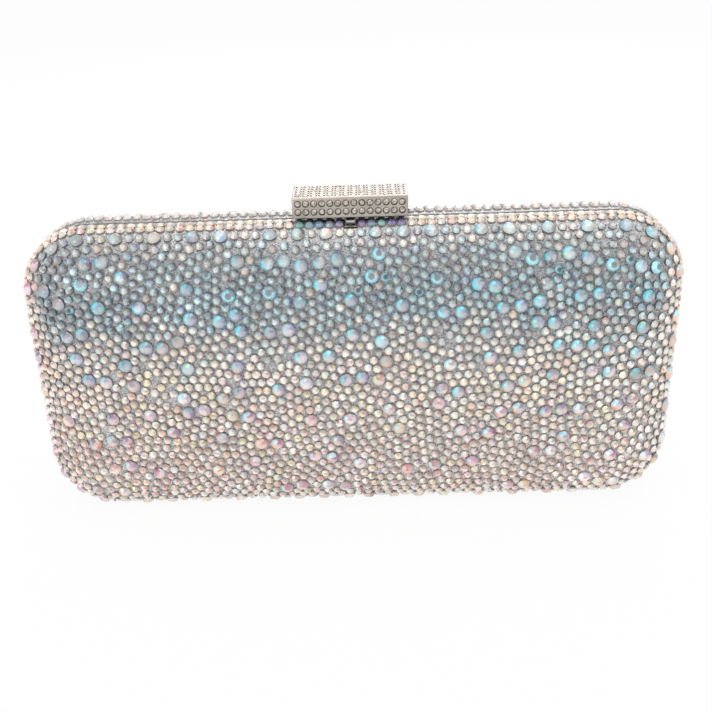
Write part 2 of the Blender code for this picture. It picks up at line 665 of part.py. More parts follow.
def make_clasp():
    """The part that tilts: the bar, the lever let into its underside, and their screw."""
    bar_mesh = box_mesh("clasp_bar", (-BAR_LENGTH / 2, -BAR_DEPTH / 2, BAR_BOTTOM),
                        (BAR_LENGTH / 2, BAR_DEPTH / 2, BAR_BOTTOM + BAR_HEIGHT))
    bar = put("clasp_bar", bar_mesh, CLASP_METAL)
    bevel = bar.modifiers.new("edges", "BEVEL")
    bevel.width = BAR_EDGE
    bevel.segments = 2
    pocket = box_mesh("bar_pocket",
                      (-LEVER_HALF_WIDTH - WALL_GAP, LEVER_FRONT - WALL_GAP, BAR_BOTTOM - FAR),
                      (LEVER_HALF_WIDTH + WALL_GAP, LEVER_REAR + WALL_GAP,
                       LEVER_Z + LEVER_THICKNESS + WALL_GAP))
    cut(bar, tool("bar_pocket", pocket))
    screw_top = BAR_BOTTOM + CLASP_SCREW_LENGTH
    screw_hole = upright_hole("clasp_screw_hole", (0.0, CLASP_SCREW_Y), BAR_BOTTOM,
                              screw_top + WALL_GAP, BRACKET_RIVET_HOLE)
    cut(bar, screw_hole)
    plate = box_mesh("clasp_lever", (-LEVER_HALF_WIDTH, LEVER_FRONT, LEVER_Z),
                     (LEVER_HALF_WIDTH, LEVER_REAR, LEVER_Z + LEVER_THICKNESS))
    lever = put("clasp_lever", plate, CLASP_METAL)
    overlap = LEVER_THICKNESS / 2
    neck = box_mesh("lever_neck", (-NECK_HALF_WIDTH, CLASP_PIN_Y - NECK_RADIUS, CLASP_PIN_Z),
                    (NECK_HALF_WIDTH, CLASP_PIN_Y + NECK_RADIUS, LEVER_Z + overlap))
    extend(lever, tool("lever_neck", neck))
    eye = rod_mesh("lever_eye", (-NECK_HALF_WIDTH, CLASP_PIN_Y, CLASP_PIN_Z),
                   (NECK_HALF_WIDTH, CLASP_PIN_Y, CLASP_PIN_Z), NECK_RADIUS)
    extend(lever, tool("lever_eye", eye))
    tongue = box_mesh("lever_tongue", (-TONGUE_HALF_WIDTH, TONGUE_FRONT, HEIGHT - TONGUE_DROP),
                      (TONGUE_HALF_WIDTH, TONGUE_REAR, LEVER_Z + overlap))
    extend(lever, tool("lever_tongue", tongue))
    pin_hole = rod_mesh("lever_pin_hole", (-FAR, CLASP_PIN_Y, CLASP_PIN_Z),
                        (FAR, CLASP_PIN_Y, CLASP_PIN_Z), CLASP_PIN_HOLE)
    cut(lever, tool("lever_pin_hole", pin_hole))
    cut(lever, screw_hole)
    under = LEVER_Z - FIT_GAP
    profile = [(0.0, screw_top), (BRACKET_RIVET_SHANK, screw_top), (BRACKET_RIVET_SHANK, under),
               (BRACKET_RIVET_HEAD, under), (BRACKET_RIVET_HEAD, under - CLASP_SCREW_HEAD_HEIGHT / 2),
               (0.0, under - CLASP_SCREW_HEAD_HEIGHT)]
    screw = put("clasp_screw", profile_mesh("clasp_screw", profile), HINGE_STEEL,
                (0.0, CLASP_SCREW_Y, 0.0))
    return [bar, lever, turn(screw, SMALL_SIDES)]


def make_keeper(halves):
    """The bent leaf in a notch of the rear rim that the tongue snaps behind, and its rivets."""
    rear_frame = bpy.data.objects["rear_frame"]
    notch = box_mesh("keeper_notch", (-KEEPER_NOTCH, -FAR, NOTCH_FLOOR),
                     (KEEPER_NOTCH, RIM_EDGE + WALL_GAP / 2, HEIGHT))
    cut(rear_frame, tool("keeper_notch", notch))
    foot_z = NOTCH_FLOOR + FIT_GAP + LEAF_SPRING_THICKNESS / 2
    path = [(KEEPER_FOOT_Y, foot_z)]
    path += arc((KEEPER_Y + KEEPER_BEND, foot_z + KEEPER_BEND), KEEPER_BEND, 270, 180, KEEPER_STEPS)
    path.append((KEEPER_Y, KEEPER_TOP))
    leaf = strip("keeper_spring", path, KEEPER_WIDTH, SPRING_STEEL)
    halves["rear"].append(leaf)
    seat = foot_z + LEAF_SPRING_THICKNESS / 2 + FIT_GAP
    foot = HEIGHT - FLANGE_INNER + FIT_GAP / 2
    profile = head(KEEPER_RIVET_HEAD, seat, SPRING_RIVET_HEAD_HEIGHT, LOW_HEAD)
    profile += [(KEEPER_RIVET_SHANK, seat), (KEEPER_RIVET_SHANK, foot), (0.0, foot)]
    rivet_mesh = profile_mesh("keeper_rivet", profile)
    for hand, x in KEEPER_RIVETS:
        hole = upright_hole(f"keeper_{hand}_hole", (x, KEEPER_RIVET_Y), foot - FAR, seat,
                            KEEPER_RIVET_SHANK + FIT_GAP)
        cut(leaf, hole)
        cut(rear_frame, hole)
        rivet = put(f"keeper_{hand}_rivet", rivet_mesh, HINGE_STEEL, (x, KEEPER_RIVET_Y, 0.0))
        halves["rear"].append(turn(rivet, SMALL_SIDES))


def make_cover(half, side):
    """One half's skin of fabric and stones, with a window for the bracket on the front one."""
    name = f"{half}_cover"
    cover = make_wall(name, side, 0.0, COVER_THICKNESS, WALL_RIM, COVER_STEPS, CRYSTAL, FACE_DROP)
    if half == "front":
        stones = tool("front_large_stones", large_stones_mesh(cover))
    else:
        stones = tool("rear_large_stones", bpy.data.meshes["large_stones"])
        stones.rotation_euler = (0.0, 0.0, math.pi)
    extend(cover, stones)
    if half == "front":
        slot_half = BRACKET_HALF_WIDTH + BRACKET_SLOT_MARGIN
        slot = box_mesh("bracket_window",
                        (-slot_half, BRACKET_FRONT - BRACKET_SLOT_MARGIN, HEIGHT - FAR),
                        (slot_half, 0.0, HEIGHT + FAR))
        cut(cover, tool("bracket_window", slot))
    return cover


def make_lining(half, side):
    """One half's satin tray, with a window over each hinge leaf."""
    lining = make_wall(f"{half}_lining", side, LINING_OFFSET, LINING_THICKNESS, LINING_RIM,
                       LINING_STEPS, SATIN)
    reach = LEAF_HALF_LENGTH + LEAF_MARGIN
    for hinge, x in HINGES:
        window = box_mesh("leaf_window", (x - reach, -LEAF_EDGE - LEAF_MARGIN, 0.0),
                          (x + reach, LEAF_EDGE + LEAF_MARGIN, LINING_OFFSET + CROWN))
        cut(lining, tool(f"{half}_{hinge}_leaf_window", window))
    return lining


def make_halves():
    """The cover, shell, frame and lining of each half."""
    halves = {}
    for half, side in HALVES:
        cover = make_cover(half, side)
        shell = make_wall(f"{half}_shell", side, SHELL_OFFSET, SHELL_THICKNESS, WALL_RIM,
                          SHELL_STEPS, ABS)
        halves[half] = [cover, shell, make_frame(f"{half}_frame", side), make_lining(half, side)]
    return halves


def carry(name, where, pieces, parent=None):
    """An empty on a body's joint that its pieces, and any body on them, hang from."""
    empty = bpy.data.objects.new(name, None)
    PARTS.objects.link(empty)
    origin = Vector(where)
    if parent is not None:
        empty.parent = parent
        origin = origin - parent.location
    empty.location = origin
    for piece in pieces:
        piece.parent = empty
        piece.location = piece.location - Vector(where)
    return empty


def main():
    """Builds the bag closed: the rear half stands, the front half hinges, the clasp tilts."""
    halves = make_halves()
    make_hinges(halves)
    make_bracket(halves)
    make_clasp_spring(halves)
    make_keeper(halves)
    clasp = make_clasp()
    carry("rear_half", (0.0, 0.0, 0.0), halves["rear"])
    front = carry("front_half", (0.0, 0.0, HINGE_AXIS_Z), halves["front"])
    carry("clasp", (0.0, CLASP_PIN_Y, CLASP_PIN_Z), clasp, front)


main()
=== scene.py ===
"""The looks of a crystal-covered clutch bag: fabric, stones, frames, lining and clasp, on a plain stage.

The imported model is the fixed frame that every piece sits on. Metres, +Z up: X runs along the bag,
the seam between its halves is the plane y = 0 and the front half is on the -Y side.
"""

import json
import math
import random
from types import SimpleNamespace

import bmesh
import bpy
import numpy as np
from bpy.props import FloatProperty, FloatVectorProperty, IntProperty, PointerProperty
from mathutils import Matrix, Vector
from mathutils.bvhtree import BVHTree


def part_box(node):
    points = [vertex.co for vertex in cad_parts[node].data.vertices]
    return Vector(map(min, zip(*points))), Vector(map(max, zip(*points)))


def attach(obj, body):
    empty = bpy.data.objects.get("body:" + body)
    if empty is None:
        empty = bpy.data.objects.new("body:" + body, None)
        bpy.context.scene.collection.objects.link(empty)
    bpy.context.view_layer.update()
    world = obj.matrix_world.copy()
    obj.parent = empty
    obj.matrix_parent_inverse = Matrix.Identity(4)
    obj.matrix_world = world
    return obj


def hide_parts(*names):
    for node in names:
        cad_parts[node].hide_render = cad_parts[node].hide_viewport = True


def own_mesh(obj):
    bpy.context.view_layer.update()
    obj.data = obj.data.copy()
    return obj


bl_info = {
    "name": "Crystal Clutch Bag",
    "version": (1, 0, 0),
    "blender": (4, 5, 0),
    "location": "View3D > Sidebar > Clutch",
    "description": "Dresses a hard-case clutch in glitter fabric, crystals, plated metal and satin",
    "category": "Object",
}

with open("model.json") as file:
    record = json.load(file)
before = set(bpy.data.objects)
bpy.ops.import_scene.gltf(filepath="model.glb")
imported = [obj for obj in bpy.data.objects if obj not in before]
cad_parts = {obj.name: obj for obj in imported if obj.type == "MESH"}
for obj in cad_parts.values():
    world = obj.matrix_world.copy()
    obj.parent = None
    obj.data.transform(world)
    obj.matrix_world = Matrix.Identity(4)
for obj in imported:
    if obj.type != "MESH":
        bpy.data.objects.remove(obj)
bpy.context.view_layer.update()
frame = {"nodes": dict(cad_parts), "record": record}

MM = 0.001
FAR = 20.0 * MM
HALVES = (("front", -1), ("rear", 1))

# The bag to the tips of its small stones, and the pillow shape of one half: a flat band beside
# the seam, a rounded edge and a crown
WIDTH = 200.0 * MM
HEIGHT = 95.5 * MM
DEPTH = 44.0 * MM
CORNER_RADIUS = 21.0 * MM
MIDDLE = HEIGHT / 2
REACH_X = WIDTH / 2 - CORNER_RADIUS
REACH_Z = HEIGHT / 2 - CORNER_RADIUS
BAND = 4.5 * MM
EDGE_INSET = 16.0 * MM
EDGE_SWEEP = math.radians(70.0)
CROWN = 4.0 * MM
CROWN_POWER_X = 4
CROWN_POWER_Z = 2
EDGE_RADIUS_IN = EDGE_INSET / (1 - math.cos(EDGE_SWEEP))
EDGE_RADIUS_OUT = (DEPTH / 2 - CROWN - BAND) / math.sin(EDGE_SWEEP)

# How finely the walls are made: steps round a corner, along a long and a short side, over the
# edge, and rings over the crown
WALL_STEPS = (14, 28, 8)
EDGE_STEPS = 14
CROWN_RINGS = 9
MERGE_DISTANCE = 0.001 * MM

# The rims of the covers, the metal frames and the linings
WALL_RIM = -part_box("front_cover")[1].y
SEAM_GAP = 0.2 * MM
RIM_INSET = 0.9 * MM
RIM_CHAMFER = 0.6 * MM
RIM_EASE = RIM_CHAMFER / 3
RIM_EDGE = 2.6 * MM
FLANGE_OUTER = 3.9 * MM
FLANGE_INNER = 4.7 * MM
FLANGE_EDGE = 5.2 * MM
LINING_OFFSET = 5.0 * MM
LINING_RIM = 0.05 * MM
LINING_THICKNESS = 0.6 * MM
HINGE_NOTCH_Y = 1.9 * MM
NOTCH_MARGIN = 0.4 * MM

# Edges that turn by more than this stay sharp, in degrees
WALL_SHARP = 40.0
FRAME_SHARP = 35.0
BAR_SHARP = 25.0

# The two rows of stones beside the seam, from the first stone next to the bracket
SEAM_ROWS = (4.25 * MM, 6.95 * MM)
SEAM_PITCH = 2.95 * MM
FIRST_SEAM_STONE = 3.3 * MM

# The third row: its depth, how many small stones lie between neighbouring large ones, from the
# middle of the top, and the steps from one small stone to the next and from a small to a large one
THIRD_ROW = 10.3 * MM
THIRD_ROW_SMALL = (1, 1, 1, 3, 1, 2, 2, 2)
SMALL_PITCH = 3.15 * MM
LARGE_PITCH = 4.1 * MM

# Large stones over the face: wavy rows, closer together towards the top, with uneven steps
FACE_MARGIN = 7.4 * MM
FACE_ROWS = 9
ROW_CROWDING = 0.85
WAVE_HEIGHT = 2.4 * MM
WAVE_LENGTH = 12.0 * MM
UNEVEN = 1.3 * MM
LARGE_STEPS = (4.9 * MM, 5.4 * MM, 8.5 * MM, 12.0 * MM, 15.0 * MM, 19.0 * MM)
LARGE_SPACING = 4.8 * MM
LAYOUT_SEED = 47

# Small stones over the face: how many are scattered for each that has room, how much of the room
# is filled, how far from the third row they start and stay, and how much two may overlap before
# one is left out
SCATTERED = 2.0
FILL = 0.87
ROW_CLEARANCE = 2.5 * MM
ROW_LIMIT = 1.2 * MM
LEAST_SPACING = 0.95

# How small stones push each other apart: how often, how often neighbours are looked up, how much
# wider than their gap at first and how fast that fades, and the share of an overlap that one push
# takes away. No distance counts as less than the last value.
PUSHES = 150
PUSHES_PER_SEARCH = 6
FIRST_PUSH = 1.3 * MM
FADE = 1.5
PUSH_SHARE = 0.45
LEAST_DISTANCE = 1e-9


def linear(hex_colour):
    """A colour written as sRGB hex, as the linear values that nodes take."""
    channels = [int(hex_colour[start:start + 2], 16) / 255 for start in (1, 3, 5)]
    return tuple(c / 12.92 if c <= 0.04045 else ((c + 0.055) / 1.055) ** 2.4 for c in channels)


def length_property(name, description, default):
    """A length that a user may change."""
    return FloatProperty(name=name, description=description, default=default, subtype="DISTANCE",
                         unit="LENGTH")


def colour_property(name, description, hex_colour):
    """A colour that a user may change."""
    return FloatVectorProperty(name=name, description=description, default=linear(hex_colour),
                               subtype="COLOR", size=3, min=0, max=1)


class ClutchSizes(bpy.types.PropertyGroup):
    """Sizes of what the frame leaves to the looks."""

    small_stone: length_property("Small stone", "Width of a small stone", 2.7 * MM)
    small_height: length_property("Small height", "Height of a small stone", 1.2 * MM)
    large_stone: length_property("Large stone", "Width of a large stone", 4.15 * MM)
    large_height: length_property("Large height", "Height of a large stone", 1.75 * MM)
    stone_gap: length_property("Gap", "Fabric left between neighbouring stones", 0.35 * MM)
    seed: IntProperty(name="Seed", description="Another value scatters the small stones another way",
                      default=11)
    fabric: length_property("Fabric", "Thickness of the glitter fabric", 0.45 * MM)
    cup_pitch: length_property("Cup pitch", "Distance between stones on the clasp", 2.35 * MM)


class ClutchColours(bpy.types.PropertyGroup):
    """Colours of the finishes, apart from the stones' own."""

    # The glitter's grey with its painted reflection and shade: light at the bottom and beside the seam,
    # darker near the top
    fabric_low: colour_property("Glitter, edges", "Flakes at the bottom and the seam", "#FFFBF8")
    fabric_high: colour_property("Glitter, upper face", "Flakes near the top", "#C6C7CA")
    plate: colour_property("Clasp plate", "Warm silver plate of the clasp", "#B8AFA5")
    frame: colour_property("Frame", "Plated rims beside the seam", "#A5A4A3")
    satin: colour_property("Satin", "Lining of both halves", "#A9A7AE")
    steel: colour_property("Steel", "Hinges, pins, rivets and springs", "#A9AAAD")
    plastic: colour_property("Shells", "Moulded shells under the covers", "#8E8E91")


def chosen(name):
    """One of the colours that a user may change."""
    return tuple(getattr(bpy.context.scene.clutch_colours, name))


def shade(colour, factor):
    """A colour made lighter or darker."""
    return tuple(min(1.0, channel * factor) for channel in colour)


def shades(colour, *stops):
    """A ramp's stops in lighter and darker tones of a colour, each given as (position, factor)."""
    return [(position, shade(colour, factor)) for position, factor in stops]


def node(tree, kind, inputs=None, settings=None, stops=()):
    """Adds a node: what each input holds, its settings and a ramp's stops.

    An input holds a value, or is fed by an output or by the first output of a node.
    """
    made = tree.nodes.new(kind)
    for name, value in (settings or {}).items():
        setattr(made, name, value)
    for index, (position, colour) in enumerate(stops):
        ramp = made.color_ramp.elements
        stop = ramp[index] if index < len(ramp) else ramp.new(position)
        stop.position = position
        stop.color = (*colour, 1.0)
    for name, value in (inputs or {}).items():
        source = value.outputs[0] if isinstance(value, bpy.types.Node) else value
        if isinstance(source, bpy.types.NodeSocket):
            tree.links.new(source, made.inputs[name])
        else:
            made.inputs[name].default_value = value
    return made


def start_material(name):
    """A new material and its empty node tree."""
    material = bpy.data.materials.new(name)
    material.use_nodes = True
    material.node_tree.nodes.clear()
    return material, material.node_tree


def close_material(material, shader):
    """Links a shader to a material's output."""
    node(material.node_tree, "ShaderNodeOutputMaterial", {"Surface": shader})
    return material


def object_point(tree, scale=(1.0, 1.0, 1.0)):
    """Object coordinates in metres, stretched by scale."""
    place = node(tree, "ShaderNodeTexCoord")
    return node(tree, "ShaderNodeMapping", {"Vector": place.outputs["Object"], "Scale": scale})


# Real glitter flakes are 0.2 mm wide. They are drawn at 0.34 mm, so that they show.
FLAKE = 0.34 * MM
# How deep on the rounded edge the fabric takes in full its face's painted reflection and shade, which run
# with height
FACE_DEPTH = 0.7 * DEPTH / 2
WHITE = (1.0, 1.0, 1.0)


def flakes(tree):
    """Cells the size of a flake, each with three random numbers of its own."""
    cells = node(tree, "ShaderNodeTexVoronoi", {"Vector": object_point(tree), "Scale": 1 / FLAKE})
    return node(tree, "ShaderNodeSeparateColor", {"Color": cells.outputs["Color"]}).outputs


def glitter_fabric():
    """Glitter fabric: aluminised film flakes in binder on cloth, a grainy grey with coloured sparks. Its
    grey is painted lighter at the bottom and beside the seam and darker towards the top, a painted
    reflection and shade.
    """
    material, tree = start_material("glitter_fabric_aluminised_flakes")
    flake = flakes(tree)
    place = node(tree, "ShaderNodeSeparateXYZ", {"Vector": object_point(tree, (1.0, 1.0, 1 / HEIGHT))})
    depth = node(tree, "ShaderNodeMath", {0: place.outputs["Y"]}, {"operation": "ABSOLUTE"})
    on_the_face = node(tree, "ShaderNodeMapRange",
                       {"Value": depth, "From Min": BAND, "From Max": FACE_DEPTH})
    level = node(tree, "ShaderNodeMath", {0: place.outputs["Z"], 1: on_the_face},
                 {"operation": "MULTIPLY"})
    # Painted reflection and shade: the grey runs from light at the bottom and the seam to darker near the
    # top
    silver = node(tree, "ShaderNodeValToRGB", {"Fac": level},
                  stops=[(0.25, chosen("fabric_low")), (0.75, chosen("fabric_high"))])
    tone = node(tree, "ShaderNodeValToRGB", {"Fac": flake["Red"]},
                stops=shades(WHITE, (0.0, 0.28), (0.25, 0.60), (0.60, 0.84), (0.85, 1.0)))
    tint = node(tree, "ShaderNodeValToRGB", {"Fac": flake["Green"]},
                stops=[(0.0, linear("#EFC2C4")), (0.25, linear("#FFFFFF")), (0.60, linear("#F8F8F6")),
                       (0.80, linear("#C4E2D6")), (1.0, linear("#CFC8EA"))])
    toned = node(tree, "ShaderNodeVectorMath", {0: silver, 1: tone}, {"operation": "MULTIPLY"})
    colour = node(tree, "ShaderNodeVectorMath", {0: toned, 1: tint}, {"operation": "MULTIPLY"})
    bump = node(tree, "ShaderNodeBump",
                {"Height": flake["Blue"], "Distance": 0.12 * MM, "Strength": 0.7})
    return close_material(material, node(tree, "ShaderNodeBsdfPrincipled", {
        "Base Color": colour, "Metallic": 0.25, "Roughness": 0.38, "Normal": bump}))


def crystal(name, metallic, roughness, coat):
    """Foiled lead-free crystal: each cut facet has a painted tone for what it sends back, partly its
    coating's own colour and partly painted reflection and shade, under a glassy surface.
    """
    material, tree = start_material(name)
    facet = node(tree, "ShaderNodeVertexColor", settings={"layer_name": "facet_colour"})
    return close_material(material, node(tree, "ShaderNodeBsdfPrincipled", {
        "Base Color": facet, "Metallic": metallic, "Roughness": roughness, "IOR": 1.54,
        "Coat Weight": coat, "Coat Roughness": 0.03, "Coat IOR": 1.6}))


def coated_crystal():
    """Foiled crystal under an iridescent film: pastel facets with painted reflection and shade in their
    colours, that pale where they are seen flat, partly by the coat's own reflection and partly by painted
    reflection.
    """
    return crystal("foiled_crystal_iridescent_film", metallic=0.2, roughness=0.16, coat=0.4)


def clear_crystal():
    """Foiled clear crystal in the clasp: facets painted in the tones of the metal round them, a painted
    reflection of it, with hard glints.
    """
    return crystal("foiled_crystal_clear", metallic=0.4, roughness=0.1, coat=0.5)


def plated_metal(name, colour, roughness, grain, relief):
    """Plated metal: a mirror softened by fine grain, with faint cloudy patches where it is handled.

    The grain is given as its length along X and its width, and its relief as a height.
    """
    material, tree = start_material(name)
    patch = 4 * MM
    clouds = node(tree, "ShaderNodeTexNoise",
                  {"Vector": object_point(tree), "Scale": 1 / patch, "Detail": 3.0})
    colours = node(tree, "ShaderNodeValToRGB", {"Fac": clouds},
                   stops=shades(colour, (0.25, 0.82), (0.75, 1.12)))
    smoothest, roughest = roughness * 0.8, roughness * 1.25
    rough = node(tree, "ShaderNodeMapRange", {"Value": clouds, "To Min": smoothest, "To Max": roughest})
    along, across = grain
    grained = object_point(tree, (1 / along, 1 / across, 1 / across))
    fine = node(tree, "ShaderNodeTexNoise", {"Vector": grained, "Scale": 1.0, "Detail": 2.0})
    bump = node(tree, "ShaderNodeBump", {"Height": fine, "Distance": relief, "Strength": 0.5})
    return close_material(material, node(tree, "ShaderNodeBsdfPrincipled", {
        "Base Color": colours, "Metallic": 1.0, "Roughness": rough, "Normal": bump}))


def clasp_plate():
    """Silver-plated zinc casting: warm grey, polished, with the casting's soft unevenness."""
    return plated_metal("silver_plated_zinc_casting", chosen("plate"), roughness=0.30,
                        grain=(0.25 * MM, 0.25 * MM), relief=0.02 * MM)


def cup_painted_shade():
    """Silver plate painted darker in the cups under the stones, the darker ring round each one: a painted
    shade.
    """
    return plated_metal("oxidised_silver", linear("#7F766E"), roughness=0.5,
                        grain=(0.2 * MM, 0.2 * MM), relief=0.02 * MM)


def frame_mouth():
    """Silver-plated steel on the frames' flat mouths, where the halves meet: bright, finely ground."""
    return plated_metal("silver_plated_ground_steel", shade(chosen("frame"), 1.25), roughness=0.26,
                        grain=(0.3 * MM, 0.3 * MM), relief=0.01 * MM)


def seam_painted_shade():
    """Silver plate painted dark on the chamfered edges of the frames: a painted shade, the dark line of the
    seam.
    """
    return plated_metal("tarnished_silver_plate", linear("#6E6B68"), roughness=0.5,
                        grain=(0.3 * MM, 0.3 * MM), relief=0.02 * MM)


def brushed_steel():
    """Plated steel strip and wire, brushed along X: fine lines that stretch the highlights."""
    return plated_metal("brushed_nickel_plated_steel", chosen("steel"), roughness=0.32,
                        grain=(6 * MM, 0.15 * MM), relief=0.02 * MM)


def spring_steel():
    """Blued-grey bare spring steel, rolled smooth across X."""
    return plated_metal("bare_spring_steel", shade(chosen("steel"), 0.7), roughness=0.28,
                        grain=(0.15 * MM, 4 * MM), relief=0.01 * MM)


def frame_plate():
    """Silver-plated frame with a flake finish that matches the fabric, so that the rims sparkle."""
    material, tree = start_material("silver_plated_frame_flake_finish")
    flake = flakes(tree)
    tones = shades(chosen("frame"), (0.0, 0.45), (0.35, 0.85), (0.75, 1.1))
    colour = node(tree, "ShaderNodeValToRGB", {"Fac": flake["Red"]},
                  stops=[*tones, (1.0, linear("#F6F4F2"))])
    bump = node(tree, "ShaderNodeBump",
                {"Height": flake["Blue"], "Distance": 0.06 * MM, "Strength": 0.5})
    return close_material(material, node(tree, "ShaderNodeBsdfPrincipled", {
        "Base Color": colour, "Metallic": 0.8, "Roughness": 0.34, "Normal": bump}))


def satin():
    """Polyester satin glued to card: long floats along X give a soft sheen and a faint fine rib, with
    painted sheen and shade in soft clouds.
    """
    material, tree = start_material("polyester_satin_lining")
    # Satin threads are 0.12 mm apart. They are drawn at 0.35 mm, so that they show.
    thread = 0.35 * MM
    fold = 14 * MM
    # Painted sheen and shade: soft clouds of lighter and darker satin, the size of a fold, which the smooth
    # tray doesn't have
    painted_fold_sheen = node(tree, "ShaderNodeTexNoise",
                 {"Vector": object_point(tree, (0.4, 1.0, 1.0)), "Scale": 1 / fold, "Detail": 2.0})
    colours = node(tree, "ShaderNodeValToRGB", {"Fac": painted_fold_sheen},
                   stops=shades(chosen("satin"), (0.3, 0.85), (0.7, 1.15)))
    floats = node(tree, "ShaderNodeTexNoise",
                  {"Vector": object_point(tree, (0.06, 1.0, 1.0)), "Scale": 1 / thread, "Detail": 2.0})
    bump = node(tree, "ShaderNodeBump", {"Height": floats, "Distance": 0.06 * MM, "Strength": 0.6})
    return close_material(material, node(tree, "ShaderNodeBsdfPrincipled", {
        "Base Color": colours, "Roughness": 0.42, "Sheen Weight": 0.4, "Sheen Roughness": 0.35,
        "Specular IOR Level": 0.6, "Anisotropic": 0.5, "Normal": bump}))


def moulded_shell():
    """Injection-moulded ABS, left as it comes from a spark-eroded mould: matt with a fine grain."""
    material, tree = start_material("moulded_abs_shell")
    grain = 0.3 * MM
    texture = node(tree, "ShaderNodeTexNoise",
                   {"Vector": object_point(tree), "Scale": 1 / grain, "Detail": 3.0})
    colours = node(tree, "ShaderNodeValToRGB", {"Fac": texture},
                   stops=shades(chosen("plastic"), (0.3, 0.92), (0.7, 1.08)))
    bump = node(tree, "ShaderNodeBump", {"Height": texture, "Distance": 0.03 * MM})
    return close_material(material, node(tree, "ShaderNodeBsdfPrincipled", {
        "Base Color": colours, "Roughness": 0.5, "Normal": bump}))


def make_object(shape, name, materials):
    """Makes a bmesh into an object with materials."""
    mesh = bpy.data.meshes.new(name)
    shape.to_mesh(mesh)
    shape.free()
    for material in materials:
        mesh.materials.append(material)
    made = bpy.data.objects.new(name, mesh)
    bpy.context.scene.collection.objects.link(made)
    return made


def put_piece(shape, name, body, materials):
    """Makes a bmesh into a piece of the bag that rides on a body."""
    piece = make_object(shape, name, materials)
    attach(piece, body)
    return piece


def settle(piece):
    """Applies a piece's modifiers to its mesh."""
    bpy.context.view_layer.update()
    graph = bpy.context.evaluated_depsgraph_get()
    mesh = bpy.data.meshes.new_from_object(piece.evaluated_get(graph))
    piece.modifiers.clear()
    piece.data = mesh
    return piece


def add_box(shape, low, high):
    """Adds a box between two corners to a bmesh."""
    low, high = Vector(low), Vector(high)
    place = Matrix.Translation((low + high) / 2) @ Matrix.Diagonal((*(high - low), 1.0))
    bmesh.ops.create_cube(shape, size=1.0, matrix=place)


def cut_out(piece, shape, material=None):
    """Cuts a bmesh out of a piece. The cut faces take the material, if one is given."""
    cutter = make_object(shape, "cutter", [material] if material else [])
    boolean = piece.modifiers.new("cut", "BOOLEAN")
    boolean.operation = "DIFFERENCE"
    boolean.object = cutter
    boolean.material_mode = "TRANSFER" if material else "INDEX"
    settle(piece)
    bpy.data.objects.remove(cutter)


def shade_round(piece, angle):
    """Smooth shading with edges sharper than an angle, in degrees, kept."""
    piece.data.shade_smooth()
    piece.data.set_sharp_from_angle(angle=math.radians(angle))


def sweep(section, side):
    """Sweeps a line of (inset, depth) points round the bag's rounded-rectangle outline."""
    corner_steps, long_steps, short_steps = WALL_STEPS
    shape = bmesh.new()
    line = [shape.verts.new((WIDTH / 2 - inset, side * depth, MIDDLE - REACH_Z))
            for inset, depth in section]
    ends = line + [shape.edges.new(pair) for pair in zip(line, line[1:])]
    stages = ((1, 1, (0, 0, 2 * REACH_Z), short_steps), (-1, 1, (-2 * REACH_X, 0, 0), long_steps),
              (-1, -1, (0, 0, -2 * REACH_Z), short_steps), (1, -1, (2 * REACH_X, 0, 0), long_steps))
    for sign_x, sign_z, run, run_steps in stages:
        ends = bmesh.ops.spin(shape, geom=ends, cent=(0, 0, 0), axis=(0, 1, 0), angle=0.0,
                              steps=run_steps, dvec=Vector(run) / run_steps)["geom_last"]
        ends = bmesh.ops.spin(shape, geom=ends, cent=(sign_x * REACH_X, 0, MIDDLE + sign_z * REACH_Z),
                              axis=(0, -1, 0), angle=math.pi / 2, steps=corner_steps)["geom_last"]
    bmesh.ops.remove_doubles(shape, verts=shape.verts, dist=MERGE_DISTANCE)
    return shape


def wall_section(offset, rim):
    """A wall's (inset, depth) points from its rim to its crown, offset inwards from the stones' tips."""
    section = [(offset, rim)]
    for step in range(EDGE_STEPS + 1):
        angle = EDGE_SWEEP * step / EDGE_STEPS
        inwards = Vector((EDGE_RADIUS_OUT * math.cos(angle), -EDGE_RADIUS_IN * math.sin(angle)))
        inwards = inwards.normalized() * offset
        section.append((EDGE_RADIUS_IN * (1 - math.cos(angle)) + inwards.x,
                        BAND + EDGE_RADIUS_OUT * math.sin(angle) + inwards.y))
    return section


def pillow(offset, rim, side):
    """One half's curved wall as an open surface: the swept edge, closed by a crown of rings."""
    section = wall_section(offset, rim)
    shape = sweep(section, side)
    edge_inset, edge_depth = section[-1]
    reach_x = WIDTH / 2 - edge_inset
    reach_z = HEIGHT / 2 - edge_inset
    same_depth = 10 * MERGE_DISTANCE
    ring = [edge for edge in shape.edges if edge.is_boundary
            and all(abs(abs(vert.co.y) - edge_depth) < same_depth for vert in edge.verts)]
    share = 1.0
    for step in range(CROWN_RINGS, 0, -1):
        following = (step - 0.5) / CROWN_RINGS
        grown = bmesh.ops.extrude_edge_only(shape, edges=ring)["geom"]
        ring = [item for item in grown if isinstance(item, bmesh.types.BMEdge)]
        for vert in (item for item in grown if isinstance(item, bmesh.types.BMVert)):
            x = vert.co.x * following / share
            rise = (vert.co.z - MIDDLE) * following / share
            swell = (1 - (x / reach_x) ** CROWN_POWER_X) * (1 - (rise / reach_z) ** CROWN_POWER_Z)
            vert.co = (x, side * (edge_depth + CROWN * swell), MIDDLE + rise)
        share = following
    bmesh.ops.contextual_create(shape, geom=ring)
    bmesh.ops.recalc_face_normals(shape, faces=shape.faces)
    middle_face = max(shape.faces, key=lambda face: face.calc_center_median().y * side)
    if middle_face.normal.y * side < 0:
        bmesh.ops.reverse_faces(shape, faces=shape.faces)
    return shape


def solid_wall(name, offset, rim, thickness, side, body, material):
    """A pillow wall with its thickness inwards."""
    piece = put_piece(pillow(offset, rim, side), name, body, [material])
    solidify = piece.modifiers.new("thickness", "SOLIDIFY")
    solidify.thickness = thickness
    solidify.offset = -1.0
    return settle(piece)


